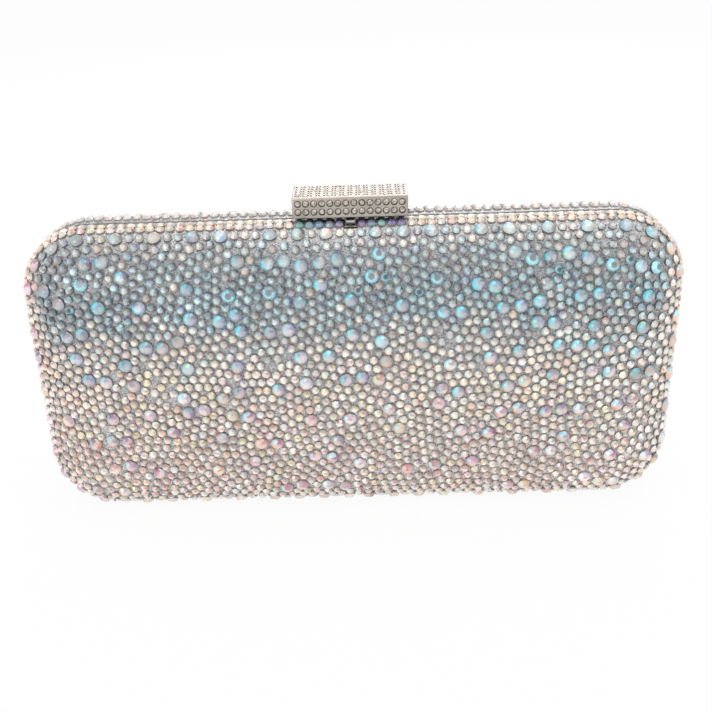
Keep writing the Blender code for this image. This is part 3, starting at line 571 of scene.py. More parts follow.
class CLUTCH_OT_make_fabric(bpy.types.Operator):
    """Stretches the glitter fabric over both halves, under the stones"""

    bl_idname = "clutch.make_fabric"
    bl_label = "Glitter fabric"

    def execute(self, context):
        sizes = context.scene.clutch_sizes
        material = glitter_fabric()
        for half, side in HALVES:
            fabric = solid_wall(f"{half}_fabric", sizes.small_height, WALL_RIM, sizes.fabric, side,
                                f"{half}_half", material)
            if half == "front":
                low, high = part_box("clasp_bracket")
                window = bmesh.new()
                add_box(window, (low.x - NOTCH_MARGIN, low.y - NOTCH_MARGIN, HEIGHT - FAR),
                        (high.x + NOTCH_MARGIN, 0.0, HEIGHT + FAR))
                cut_out(fabric, window)
            shade_round(fabric, WALL_SHARP)
            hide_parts(f"{half}_cover")
        return {"FINISHED"}


# Cuts as rings of (share of the radius, share of the height, points, turn in degrees), from the
# table down to the flat back. A small stone has eight crown facets and a girdle that tapers in, a
# large one a ring of stars, a ring of kites and a sixteen-sided girdle.
SMALL_CUT = ((0.60, 1.0, 8, 0.0), (1.0, 0.45, 8, 0.0), (0.95, 0.0, 8, 0.0))
LARGE_CUT = ((0.50, 1.0, 8, 0.0), (0.80, 0.74, 8, 22.5), (1.0, 0.36, 16, 0.0), (0.96, 0.0, 16, 0.0))
WEDGES = 8
FLAT_ANGLE = math.radians(1.0)
# A direction in which no two facets of a stone lie equally far
FACET_ORDER = Vector((1.0, 1.7, 3.1))


def cut_gem(cut, width, height):
    """A faceted stone as the hull of a cut's rings, with its table in wedges that take a colour each."""
    shape = bmesh.new()
    for radius_share, height_share, points, turn in cut:
        rise = Matrix.Translation((0, 0, height_share * height))
        bmesh.ops.create_circle(shape, cap_ends=False, radius=radius_share * width / 2, segments=points,
                                matrix=rise @ Matrix.Rotation(math.radians(turn), 4, "Z"))
    bmesh.ops.convex_hull(shape, input=shape.verts)
    bmesh.ops.dissolve_limit(shape, angle_limit=FLAT_ANGLE, verts=shape.verts, edges=shape.edges)
    table = max(shape.faces, key=lambda face: face.calc_center_median().z)
    bmesh.ops.poke(shape, faces=[table], offset=0.0, center_mode="MEAN", use_relative_offset=False)
    bmesh.ops.recalc_face_normals(shape, faces=shape.faces)
    # The facets' tones go by their order, which a hull changes from run to run
    shape.faces.sort(key=lambda face: face.calc_center_median() @ FACET_ORDER)
    gem = bpy.data.meshes.new("gem")
    shape.to_mesh(gem)
    shape.free()
    return gem


# What a coated stone sends back, by its height on the face in millimetres: from its middle, then from its
# top, right, bottom and left. These are partly the coating's own pastel colours and partly painted
# reflection and shade: darker at the top of each stone and on the upper face, lighter at its bottom, warmer
# low on the face. The last row of the small ones is for those beside the seam.
SMALL_TINTS = (
    (2.0, "#FAF4F0", "#E4D8D2", "#FAFAF6", "#FFFFFC", "#F0FAFA"),
    (10.0, "#F8E8DE", "#C49C92", "#F4DCD4", "#FFF8EC", "#F6F6F0"),
    (22.0, "#ECDED4", "#AE9490", "#E6D0CA", "#FFF5E4", "#EAF1EA"),
    (38.0, "#F2E8D9", "#ACA19B", "#ECD6CD", "#FFF8E2", "#E3EFE9"),
    (55.0, "#F8EEDE", "#C6BAB0", "#F6DCCE", "#FFFAE8", "#EAF0EA"),
    (64.0, "#E6DED4", "#A29C98", "#E4CEC6", "#FBF6E6", "#D8E8E6"),
    (72.0, "#9CA8AC", "#5E6A72", "#9499A6", "#D4F0EC", "#B4DEE4"),
    (88.0, "#A0A6A8", "#666D71", "#A09C9E", "#DEEAE2", "#BCD8DE"),
    (100.0, "#E8D5C3", "#A88C82", "#DEC4B8", "#F8F0E0", "#EDE2D4"),
)
LARGE_TINTS = (
    (4.0, "#F0DAD4", "#D0A0A8", "#E8DEE4", "#FFF0DC", "#D6F0F6"),
    (20.0, "#ECC4C4", "#B4628A", "#DCCCE0", "#FCD0A8", "#CCEEF6"),
    (38.0, "#E8D2D0", "#A08CA6", "#E0C8D6", "#F8C8A2", "#B8E8F4"),
    (55.0, "#D8D0D4", "#9096A0", "#D8CCDA", "#F0D2BC", "#9CE4F0"),
    (72.0, "#B0B2BC", "#76808A", "#B2B2CC", "#B4E6EE", "#7CE2F2"),
    (88.0, "#BCBBBB", "#808A8E", "#C6C4C8", "#CCE4E2", "#8EDCF0"),
)
# The girdle's tint by height: partly the dark side of the foil, partly a painted shade that outlines each
# stone, darker on the upper face and paler beside the seam
GIRDLE_TINTS = ((0.0, "#C6BFBA"), (30.0, "#A09893"), (60.0, "#808284"), (90.0, "#6C7074"),
                (100.0, "#A8A29C"))

# The level that stones beside the seam count as, how far the others' levels stray, the levels that
# stones take at the bag's two ends and how wide those ends are, and where the warm lower face ends
SEAM_LEVEL = 100.0
LEVEL_SPREAD = 4.0
END_LEVELS = (15.0, 45.0)
END_REACH = 7.0 * MM
LOWER_FACE = 52.0

# How stones differ in size, in lean and in the turn of their colours and of each wedge's, in
# degrees, and in brightness, whole and facet by facet. Below the last height, where the bag stands
# on them, they don't lean or differ in size.
SCALES = (0.96, 1.04)
LEAN = 4.5
STONE_TURN = 22.0
WEDGE_TURN = 14.0
BRIGHTNESS_SPREAD = 0.09
FACET_BRIGHTNESS = (0.92, 1.08)
STANDING_HEIGHT = 2.0 * MM
# The top of a stone is its side nearest to this direction: up, and back towards the seam
SKYWARD = np.array((0.0, 0.6, 0.8))

# Stray colours of single wedges, and of whole stones that differ from their neighbours, on the
# lower and the upper face, and how much they take. Beside the seam stray wedges come more often.
SEAM_ACCENTS = 1.8
ACCENT_SHARES = (0.25, 0.85)
LOW_ACCENTS = ("#B84E70", "#8A6AA8", "#F0A684", "#9CDCE8", "#F4EBA8", "#B86A58")
HIGH_ACCENTS = ("#7CE4F0", "#9C8CC0", "#7E6C72", "#BFE3B8", "#9CB0E8", "#E8C4A4")
STRAY_SHARE = 0.5
LOW_STONES = ("#F4BEA6", "#F8EAB4", "#ECD0D0", "#FFFFFF")
HIGH_STONES = ("#E0BFA8", "#9AA4B4", "#C2DCE0", "#77777F")

# A red glint near the top of the table: its chance by the stone's level, which way it faces, and
# the least cosine of a wedge's way to it
RED_GLINT = "#A8503E"
RED_CHANCE = ((18.0, 0.5), (45.0, 0.28), (60.0, 0.04), (99.0, 0.02), (100.0, 0.5))
RED_WAY = math.radians(75.0)
RED_REACH = 0.6
RED_SHARE = 0.6

# An eye in the middle of the table, with a bright ring that is open at its top: a painted reflection
RING = "#B0EEF8"
RING_LEVELS = (77.0, 87.0)
RING_OPENING = 0.75
RING_SHARE = 0.85
EYE_SHARE = 0.7

# Painted reflection of the white round about, towards the bag's edge: how much, and how far a stone still
# faces front where it starts. Beside the seam there is none on the front half, and a share of its own on
# the rear one, which paints the rear row paler.
EDGE_REFLECTION = "#F4FAFA"
EDGE_SHARE = 0.6
EDGE_LEAN = 0.6
REAR_REFLECTION = 0.4

# Stones under the clasp's bar: the blues of both rows, a painted reflection of the bar, and the full
# painted shadow of the bar over the first
UNDER_BAR_REFLECTIONS = ("#46A8C2", "#4A86A8", "#6A60B0", "#62C2BA", "#4C98C8", "#58AEC4")
UNDER_BAR_SHARE = 0.75
SHADE = "#1B2A31"
SHADE_SHARE = 0.9

# Table and girdle are told by how far a facet faces up. A facet belongs to the wedge that its middle lies
# in, with a margin for one on the wedge's edge. Corners are darker low on the stone, a painted shade.
TABLE_FACES = 0.99
GIRDLE_FACES = 0.15
WEDGE_MARGIN = 0.01
CORNER_HEIGHTS = (0.4, 0.9)
CORNER_TONES = (0.88, 1.0)


def hue(name):
    """A hex colour as an array of linear values."""
    return np.array(linear(name))


def hues(names):
    """Hex colours as rows of linear values."""
    return np.array([linear(name) for name in names])


# How stones of each size take their colours. The side with the painted shade is turned clockwise from the
# top. The table takes a share of each wedge's colour, and its very middle a share of the stone's own.
LOOKS = {
    "small": SimpleNamespace(tints=SMALL_TINTS, turn=math.radians(30.0), table_share=0.75,
                             core_share=0.6, accent_chance=0.15, ring_chance=0.07,
                             eye=hue("#1B4653")),
    "large": SimpleNamespace(tints=LARGE_TINTS, turn=math.radians(15.0), table_share=0.6,
                             core_share=0.75, accent_chance=0.2, ring_chance=0.35,
                             eye=hue("#7C7F84")),
}


def toward(colours, goal, share):
    """Colours moved part of the way to a goal."""
    return colours + (goal - colours) * share


def blend_tints(tints, levels, role):
    """One role's colour at each level, blended between the rows of a table of tints."""
    steps = [row[0] for row in tints]
    colours = hues(row[1 + role] for row in tints)
    return np.stack([np.interp(levels, steps, colours[:, channel]) for channel in range(3)], axis=-1)


class Stones:
    """Stones of one size: their seats on the fabric, their axes, and how each is turned and tilted."""

    def __init__(self, seats, rng):
        self.points = np.array([where for where, _ in seats])
        self.normals = np.array([normal for _, normal in seats])
        count = len(self.points)
        self.up = SKYWARD - (self.normals @ SKYWARD)[:, None] * self.normals
        self.up /= np.linalg.norm(self.up, axis=1)[:, None]
        self.right = np.cross(self.up, self.normals)
        self.spin = rng.uniform(0.0, math.tau, count)
        self.scale = rng.uniform(*SCALES, count)
        self.tilt = np.radians(rng.uniform(-LEAN, LEAN, (count, 2)))
        standing = self.points[:, 2] < STANDING_HEIGHT
        self.tilt[standing] = 0.0
        self.scale[standing] = 1.0

    def places(self):
        """Where each stone goes, as matrices."""
        for index, point in enumerate(self.points):
            axes = Matrix((self.right[index], self.up[index], self.normals[index])).transposed().to_4x4()
            tilt_x, tilt_y = self.tilt[index]
            lean = Matrix.Rotation(tilt_x, 4, "X") @ Matrix.Rotation(tilt_y, 4, "Y")
            spin = Matrix.Rotation(self.spin[index], 4, "Z")
            yield Matrix.Translation(point) @ axes @ lean @ spin @ Matrix.Scale(self.scale[index], 4)

    def levels(self, rng):
        """The height on the face that each stone takes its colour from, in millimetres."""
        x, y, z = np.abs(self.points.T)
        levels = z / MM + rng.normal(0.0, LEVEL_SPREAD, len(z))
        levels = np.where(x > WIDTH / 2 - END_REACH, rng.uniform(*END_LEVELS, len(z)), levels)
        beside_seam = (y < THIRD_ROW - ROW_LIMIT) & (z > MIDDLE)
        return np.where(beside_seam, SEAM_LEVEL, levels)

    def wedge_ways(self):
        """Which way each wedge of each stone faces on the bag, as an angle from its right."""
        return self.spin[:, None] + (np.arange(WEDGES) + 0.5) * math.tau / WEDGES

    def under_bar(self):
        """Which stones lie under the clasp's bar, and which of them in its full shade."""
        x, y, z = np.abs(self.points.T)
        covered = (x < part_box("clasp_bar")[1].x) & (y < THIRD_ROW - ROW_LIMIT) & (z > MIDDLE)
        return covered, covered & (y < sum(SEAM_ROWS) / 2)


def picked(low, high, warm, shape, rng):
    """Colours picked at random from one list where it is warm, and from another where it isn't."""
    picks = rng.integers(0, len(low), shape)
    return np.where(warm, hues(low)[picks], hues(high)[picks])


def wedge_colours(stones, look, levels, rng):
    """The colours of every stone's middle and of its eight wedges, with painted reflection and shade by the
    way each wedge faces.
    """
    count = len(levels)
    centre, top, right, bottom, left = (blend_tints(look.tints, levels, role)[:, None]
                                        for role in range(5))
    turn = np.radians(rng.normal(0.0, STONE_TURN, (count, 1)))
    turn = turn + np.radians(rng.normal(0.0, WEDGE_TURN, (count, WEDGES)))
    angle = stones.wedge_ways() + look.turn + turn
    rise, across = np.sin(angle)[:, :, None], np.cos(angle)[:, :, None]
    # Painted reflection and shade: each wedge takes the tints of the ways it faces, darker towards the
    # stone's top
    wedges = (top * rise.clip(0) ** 2 + bottom * (-rise).clip(0) ** 2
              + right * across.clip(0) ** 2 + left * (-across).clip(0) ** 2)

    beside_seam = (levels == SEAM_LEVEL)[:, None, None]
    warm = (levels < LOWER_FACE)[:, None, None] | beside_seam
    accents = picked(LOW_ACCENTS, HIGH_ACCENTS, warm, (count, WEDGES), rng)
    chance = look.accent_chance * np.where(beside_seam[:, 0], SEAM_ACCENTS, 1.0)
    strays = rng.uniform(size=(count, WEDGES)) < chance
    share = strays * rng.uniform(*ACCENT_SHARES, (count, WEDGES))
    wedges = toward(wedges, accents, share[:, :, None])

    tones = picked(LOW_STONES, HIGH_STONES, warm, (count, 1), rng)
    share = STRAY_SHARE * rng.uniform(size=(count, 1, 1)) ** 2
    bright = rng.normal(1.0, BRIGHTNESS_SPREAD, (count, 1, 1))
    return toward(centre, tones, share) * bright, toward(wedges, tones, share) * bright


def paint_stones(mesh, gem, stones, look, seam_reflection, rng):
    """Gives every facet of every stone its colour, with its painted reflections, glints and shade."""
    count = len(stones.points)
    levels = stones.levels(rng)
    middles, wedges = wedge_colours(stones, look, levels, rng)

    # Painted reflection of the white round about: towards the bag's edge, and on the rear row beside the
    # seam
    white = hue(EDGE_REFLECTION)
    edge = EDGE_SHARE * (1 - np.abs(stones.normals[:, 1]) / EDGE_LEAN).clip(0, 1)[:, None, None]
    edge = np.where((levels == SEAM_LEVEL)[:, None, None], seam_reflection, edge)
    # The bar's painted blue reflections on both rows under it, and its painted shadow over the first
    covered, in_shade = (group[:, None, None] for group in stones.under_bar())
    blues = hues(UNDER_BAR_REFLECTIONS)[rng.integers(0, len(UNDER_BAR_REFLECTIONS), count)][:, None]
    for goal, share in ((white, edge), (blues, UNDER_BAR_SHARE * covered),
                        (hue(SHADE), SHADE_SHARE * in_shade)):
        middles, wedges = toward(middles, goal, share), toward(wedges, goal, share)

    # Painted reflection: a dark eye and a bright ring on some stones of the upper face
    ringed = rng.uniform(size=count) < look.ring_chance
    ringed = (ringed & (levels > RING_LEVELS[0]) & (levels < RING_LEVELS[1]))[:, None, None]
    round_it = RING_SHARE * (RING_OPENING - np.sin(stones.wedge_ways())).clip(0, 1)[:, :, None]
    wedges = toward(wedges, hue(RING), round_it * ringed)

    faces = gem.polygons
    turns = np.array([math.atan2(face.center.y, face.center.x) for face in faces])
    wedge_of = ((turns + WEDGE_MARGIN) % math.tau / math.tau * WEDGES).astype(int)
    is_table = np.array([face.normal.z > TABLE_FACES for face in faces])
    is_girdle = np.array([face.normal.z < GIRDLE_FACES for face in faces])
    colour = wedges[:, wedge_of]
    table = toward(middles, colour, look.table_share)
    glinting = rng.uniform(size=count) < np.interp(levels, *zip(*RED_CHANCE))
    at_top = np.cos(stones.wedge_ways()[:, wedge_of] - RED_WAY) > RED_REACH
    table = toward(table, hue(RED_GLINT), RED_SHARE * (glinting[:, None] & at_top)[:, :, None])
    table = toward(table, look.eye, EYE_SHARE * ringed)
    colour = np.where(is_table[None, :, None], table, colour)
    colour = colour * rng.uniform(*FACET_BRIGHTNESS, (count, len(faces), 1))
    # The girdles take their painted shade, paled towards the bag's edge by the painted reflection
    girdles = toward(blend_tints(GIRDLE_TINTS, levels, 0)[:, None], white, edge)
    colour = np.where(is_girdle[None, :, None], girdles, colour)

    sides = [len(face.vertices) for face in faces]
    corners = np.array([gem.vertices[vertex].co for face in faces for vertex in face.vertices])
    colour = np.repeat(colour, sides, axis=1)
    at_core = np.repeat(is_table, sides) & (np.hypot(corners[:, 0], corners[:, 1]) < MERGE_DISTANCE)
    core = np.where(ringed, look.eye, middles)
    core_share = np.where(ringed, 1.0, look.core_share) * at_core[None, :, None]
    colour = toward(colour, core, core_share)
    # Painted shade: corners darken towards the girdle, by their share of the stone's height
    heights = corners[:, 2] / corners[:, 2].max()
    colour = colour * np.interp(heights, CORNER_HEIGHTS, CORNER_TONES)[None, :, None]
    set_facet_colours(mesh, colour.reshape(-1, 3))


def set_facet_colours(mesh, colours):
    """Writes one colour for each corner of each face."""
    rgba = np.ones((len(colours), 4))
    rgba[:, :3] = np.clip(colours, 0.0, 1.0)
    attribute = mesh.color_attributes.new("facet_colour", "FLOAT_COLOR", "CORNER")
    attribute.data.foreach_set("color", rgba.ravel())


def stamp(shape, gem, place):
    """Adds a copy of a gem at a place to a bmesh."""
    stone = gem.copy()
    stone.transform(place)
    shape.from_mesh(stone)
    bpy.data.meshes.remove(stone)


def row_inset(depth):
    """How far a row at this depth from the seam is drawn in from the bag's outline."""
    if depth <= BAND:
        return 0.0
    return EDGE_RADIUS_IN * (1 - math.cos(math.asin((depth - BAND) / EDGE_RADIUS_OUT)))


def half_round(inset):
    """The length of half the outline at an inset, from the middle of the top to that of the bottom."""
    return 2 * REACH_X + 2 * REACH_Z + math.pi * (CORNER_RADIUS - inset)


def walk_round(inset, distance):
    """The (x, z) point that far round the outline from the middle of its top, towards +X."""
    radius = CORNER_RADIUS - inset
    quarter = radius * math.pi / 2
    if distance < REACH_X:
        return distance, HEIGHT - inset
    distance -= REACH_X
    if distance < quarter:
        angle = distance / radius
        return REACH_X + radius * math.sin(angle), MIDDLE + REACH_Z + radius * math.cos(angle)
    distance -= quarter
    if distance < 2 * REACH_Z:
        return WIDTH / 2 - inset, MIDDLE + REACH_Z - distance
    distance -= 2 * REACH_Z
    if distance < quarter:
        angle = distance / radius
        return REACH_X + radius * math.cos(angle), MIDDLE - REACH_Z - radius * math.sin(angle)
    return REACH_X - (distance - quarter), inset


def both_sides(depth, distance):
    """The two points of a row, that far round from the middle of the top to either side."""
    x, z = walk_round(row_inset(depth), distance)
    return [(x, -depth, z), (-x, -depth, z)]


def seam_stones():
    """The points of the small stones in the two rows beside the seam."""
    places = []
    for depth in SEAM_ROWS:
        length = half_round(row_inset(depth)) - FIRST_SEAM_STONE
        columns = round(length / SEAM_PITCH)
        for column in range(columns):
            places += both_sides(depth, FIRST_SEAM_STONE + length * column / columns)
        places += both_sides(depth, FIRST_SEAM_STONE + length)[:1]
    return places


def bracket_stones():
    """The points where the rows beside the seam go on, on the half that has no bracket."""
    return [both_sides(depth, 0.0)[0] for depth in SEAM_ROWS]


def third_row_stones():
    """The points of the small and of the large stones in the third row."""
    end = half_round(row_inset(THIRD_ROW)) - SMALL_PITCH
    small = both_sides(THIRD_ROW, 0.0)[:1] + both_sides(THIRD_ROW, SMALL_PITCH)
    large = []
    distance = SMALL_PITCH + LARGE_PITCH
    while distance < end:
        large += both_sides(THIRD_ROW, distance)
        between = THIRD_ROW_SMALL[len(large) // 2 % len(THIRD_ROW_SMALL)]
        for column in range(between):
            following = distance + LARGE_PITCH + column * SMALL_PITCH
            if following < end:
                small += both_sides(THIRD_ROW, following)
        distance += 2 * LARGE_PITCH + (between - 1) * SMALL_PITCH
    return small, large


def on_face(x, z):
    """Whether a point lies on the face, clear of the third row."""
    beyond_x = max(abs(x) - REACH_X, 0.0)
    beyond_z = max(abs(z - MIDDLE) - REACH_Z, 0.0)
    return math.hypot(beyond_x, beyond_z) <= CORNER_RADIUS - FACE_MARGIN


def face_stones():
    """The large stones over the face, as (x, z)."""
    draw = random.Random(LAYOUT_SEED)
    places = []
    for row in range(FACE_ROWS + 1):
        level = FACE_MARGIN + (HEIGHT - 2 * FACE_MARGIN) * (row / FACE_ROWS) ** ROW_CROWDING
        phase = draw.uniform(0.0, math.tau)
        x = FACE_MARGIN - WIDTH / 2 + draw.uniform(0.0, LARGE_STEPS[-1])
        while x < WIDTH / 2 - FACE_MARGIN:
            z = level + WAVE_HEIGHT * math.sin(x / WAVE_LENGTH + phase) + draw.uniform(-UNEVEN, UNEVEN)
            clear = all(math.hypot(x - other_x, z - other_z) > LARGE_SPACING for other_x, other_z in places)
            if clear and on_face(x, z):
                places.append((x, z))
            x += draw.choice(LARGE_STEPS)
    return places


def front_triangles(offset):
    """The front half's wall as triangles, in an order that stays the same from run to run."""
    shape = pillow(offset, WALL_RIM, -1)
    triangles = []
    for face in shape.faces:
        ring = [tuple(vert.co) for vert in face.verts]
        first = ring.index(min(ring))
        ring = ring[first:] + ring[:first]
        triangles += [(ring[0], *pair) for pair in zip(ring[1:], ring[2:])]
    shape.free()
    return np.array(sorted(triangles))


def tree_of(triangles):
    """Triangles as a tree that finds the point nearest to another, or the one that a ray meets."""
    corners = triangles.reshape(-1, 3)
    faces = np.arange(len(corners)).reshape(-1, 3)
    return BVHTree.FromPolygons(corners.tolist(), faces.tolist(), all_triangles=True)


class Surface:
    """The front half's fabric, as what stones are seated on, under the level of their tips."""

    def __init__(self, offset):
        self.corners = front_triangles(offset)
        self.tree = tree_of(self.corners)
        self.tips = tree_of(front_triangles(0.0))
        edges = self.corners[:, 1:] - self.corners[:, :1]
        self.areas = np.linalg.norm(np.cross(edges[:, 0], edges[:, 1]), axis=1) / 2

    def seat(self, point):
        """The nearest point of the fabric and its normal."""
        where, normal, _, _ = self.tree.find_nearest(Vector(point))
        return where, normal

    def under(self, x, z):
        """The point of the fabric under the point (x, z) of the front, seen from straight ahead."""
        return self.seat(self.tips.ray_cast(Vector((x, -DEPTH, z)), Vector((0, 1, 0)))[0])[0]

    def scatter(self, count, rng):
        """Points spread evenly over the fabric at random."""
        chosen_faces = rng.choice(len(self.areas), count, p=self.areas / self.areas.sum())
        first, second = np.sqrt(rng.uniform(size=count)), rng.uniform(size=count)
        weights = np.stack((1 - first, first * (1 - second), first * second), axis=1)
        return np.einsum("nk,nkj->nj", weights, self.corners[chosen_faces])


def push_apart(points, radii, held, gap, surface):
    """Spreads stones evenly, then gives each its gap, keeping the first held ones where they are."""
    points = np.array(points)
    for turn in range(PUSHES):
        if turn % PUSHES_PER_SEARCH == 0:
            squares = (points ** 2).sum(axis=1)
            distances = squares[:, None] + squares[None] - 2 * points @ points.T
            reach = 2 * radii.max() + gap + FIRST_PUSH
            first, second = np.nonzero(np.triu(distances < reach ** 2, 1))
        between = points[first] - points[second]
        length = np.linalg.norm(between, axis=1) + LEAST_DISTANCE
        wider = FIRST_PUSH * max(0.0, 1 - FADE * turn / PUSHES)
        short = np.clip(radii[first] + radii[second] + gap + wider - length, 0.0, None)
        push = between * (PUSH_SHARE * short / length)[:, None]
        move = np.zeros_like(points)
        np.add.at(move, first, push)
        np.add.at(move, second, -push)
        move[:held] = 0.0
        points += move
        points[held:, 1] = np.minimum(points[held:, 1], -THIRD_ROW - ROW_LIMIT)
        for index in range(held, len(points)):
            points[index] = surface.seat(points[index])[0]
    return points


def lay_out_stones(sizes, surface):
    """Points for the small and the large stones of a half."""
    rng = np.random.default_rng(sizes.seed)
    small, large = third_row_stones()
    small += seam_stones()
    small, large = ([surface.seat(point)[0] for point in group] for group in (small, large))
    on_the_face = [surface.under(x, z) for x, z in face_stones()]
    large += on_the_face
    fixed = np.array(small + large)
    small_radius, large_radius = sizes.small_stone / 2, sizes.large_stone / 2
    small_area, large_area = (math.pi * (radius + sizes.stone_gap / 2) ** 2
                              for radius in (small_radius, large_radius))
    open_faces = surface.corners[:, :, 1].max(axis=1) < -THIRD_ROW - ROW_LIMIT
    room = surface.areas[open_faces].sum() - large_area * len(on_the_face)
    loose = surface.scatter(int(SCATTERED * room / small_area), rng)
    loose = loose[loose[:, 1] < -THIRD_ROW - ROW_CLEARANCE][:int(FILL * room / small_area)]
    radii = np.full(len(fixed) + len(loose), small_radius)
    radii[len(small):len(fixed)] = large_radius
    points = push_apart(np.vstack((fixed, loose)), radii, len(fixed), sizes.stone_gap, surface)
    kept = list(range(len(fixed)))
    for index in range(len(fixed), len(points)):
        spacing = np.linalg.norm(points[kept] - points[index], axis=1)
        if (spacing > LEAST_SPACING * (radii[kept] + small_radius)).all():
            kept.append(index)
    return small + list(points[kept[len(fixed):]]), large


class CLUTCH_OT_make_crystals(bpy.types.Operator):
    """Glues the small and large stones to the fabric of both halves"""

    bl_idname = "clutch.make_crystals"
    bl_label = "Crystals"

    def execute(self, context):
        sizes = context.scene.clutch_sizes
        material = coated_crystal()
        surface = Surface(sizes.small_height)
        small, large = lay_out_stones(sizes, surface)
        gems = {"small": cut_gem(SMALL_CUT, sizes.small_stone, sizes.small_height),
                "large": cut_gem(LARGE_CUT, sizes.large_stone, sizes.large_height)}
        for half, _ in HALVES:
            in_rear = half == "rear"
            points = {"small": small + bracket_stones() if in_rear else small, "large": large}
            for size, gem in gems.items():
                rng = np.random.default_rng(sizes.seed + len(points[size]))
                stones = Stones([surface.seat(point) for point in points[size]], rng)
                shape = bmesh.new()
                for place in stones.places():
                    stamp(shape, gem, place)
                piece = put_piece(shape, f"{half}_{size}_crystals", f"{half}_half", [material])
                paint_stones(piece.data, gem, stones, LOOKS[size], REAR_REFLECTION if in_rear else 0.0, rng)
                if in_rear:
                    piece.data.transform(Matrix.Rotation(math.pi, 4, "Z"))
                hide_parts(f"{half}_cover")
        for gem in gems.values():
            bpy.data.meshes.remove(gem)
        return {"FINISHED"}


class CLUTCH_OT_make_frames(bpy.types.Operator):
    """Makes the plated frames round the mouths of both halves"""

    bl_idname = "clutch.make_frames"
    bl_label = "Frames"

    def execute(self, context):
        finishes = plate, edge, mouth = frame_plate(), seam_painted_shade(), frame_mouth()
        chamfered = RIM_INSET + RIM_CHAMFER
        section = ((chamfered + RIM_EASE, SEAM_GAP), (chamfered - RIM_EASE, SEAM_GAP + RIM_EASE / 2),
                   (RIM_INSET + RIM_EASE / 2, SEAM_GAP + RIM_CHAMFER - RIM_EASE),
                   (RIM_INSET, SEAM_GAP + RIM_CHAMFER + RIM_EASE),
                   (RIM_INSET, RIM_EDGE - RIM_EASE), (RIM_INSET + RIM_EASE, RIM_EDGE),
                   (FLANGE_OUTER, RIM_EDGE), (FLANGE_OUTER, FLANGE_EDGE), (FLANGE_INNER, FLANGE_EDGE),
                   (FLANGE_INNER, SEAM_GAP), (chamfered + RIM_EASE, SEAM_GAP))
        for half, side in HALVES:
            shape = sweep(section, side)
            bmesh.ops.recalc_face_normals(shape, faces=shape.faces)
            for face in shape.faces:
                depth = abs(face.calc_center_median().y) - SEAM_GAP
                # The chamfers take the painted shade of the seam's dark line
                on_chamfer = MERGE_DISTANCE < depth < RIM_CHAMFER
                finish = edge if on_chamfer else mouth if depth < RIM_CHAMFER else plate
                face.material_index = finishes.index(finish)
            ring = put_piece(shape, f"{half}_frame_ring", f"{half}_half", finishes)
            notches = bmesh.new()
            for hinge in ("left", "right"):
                low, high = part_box(f"{hinge}_hinge_pin")
                add_box(notches, (low.x - NOTCH_MARGIN, -HINGE_NOTCH_Y, -FAR),
                        (high.x + NOTCH_MARGIN, HINGE_NOTCH_Y, LINING_OFFSET))
            if half == "rear":
                low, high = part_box("keeper_spring")
                add_box(notches, (low.x - NOTCH_MARGIN, -FAR, low.z - NOTCH_MARGIN / 2),
                        (high.x + NOTCH_MARGIN, RIM_EDGE + NOTCH_MARGIN / 2, HEIGHT + FAR))
            cut_out(ring, notches)
            shade_round(ring, FRAME_SHARP)
            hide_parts(f"{half}_frame")
        return {"FINISHED"}


class CLUTCH_OT_make_linings(bpy.types.Operator):
    """Makes the satin-covered trays inside both halves"""

    bl_idname = "clutch.make_linings"
    bl_label = "Satin linings"

    def execute(self, context):
        material = satin()
        for half, side in HALVES:
            tray = solid_wall(f"{half}_satin_tray", LINING_OFFSET, LINING_RIM, LINING_THICKNESS, side,
                              f"{half}_half", material)
            windows = bmesh.new()
            for hinge in ("left", "right"):
                low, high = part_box(f"{hinge}_hinge_{half}_leaf")
                far = max(low.y, high.y, key=abs) + side * NOTCH_MARGIN
                near = -side * NOTCH_MARGIN
                add_box(windows, (low.x - NOTCH_MARGIN, min(near, far), -FAR),
                        (high.x + NOTCH_MARGIN, max(near, far), LINING_OFFSET + CROWN))
            cut_out(tray, windows)
            shade_round(tray, WALL_SHARP)
            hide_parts(f"{half}_lining")
        return {"FINISHED"}


def facing(point, direction):
    """A place whose Z axis points along a direction."""
    return Matrix.Translation(point) @ direction.to_track_quat("Z", "Y").to_matrix().to_4x4()


def spread(count, pitch):
    """Places along a line, a pitch apart, with 0 in their middle."""
    return [(index - (count - 1) / 2) * pitch for index in range(count)]


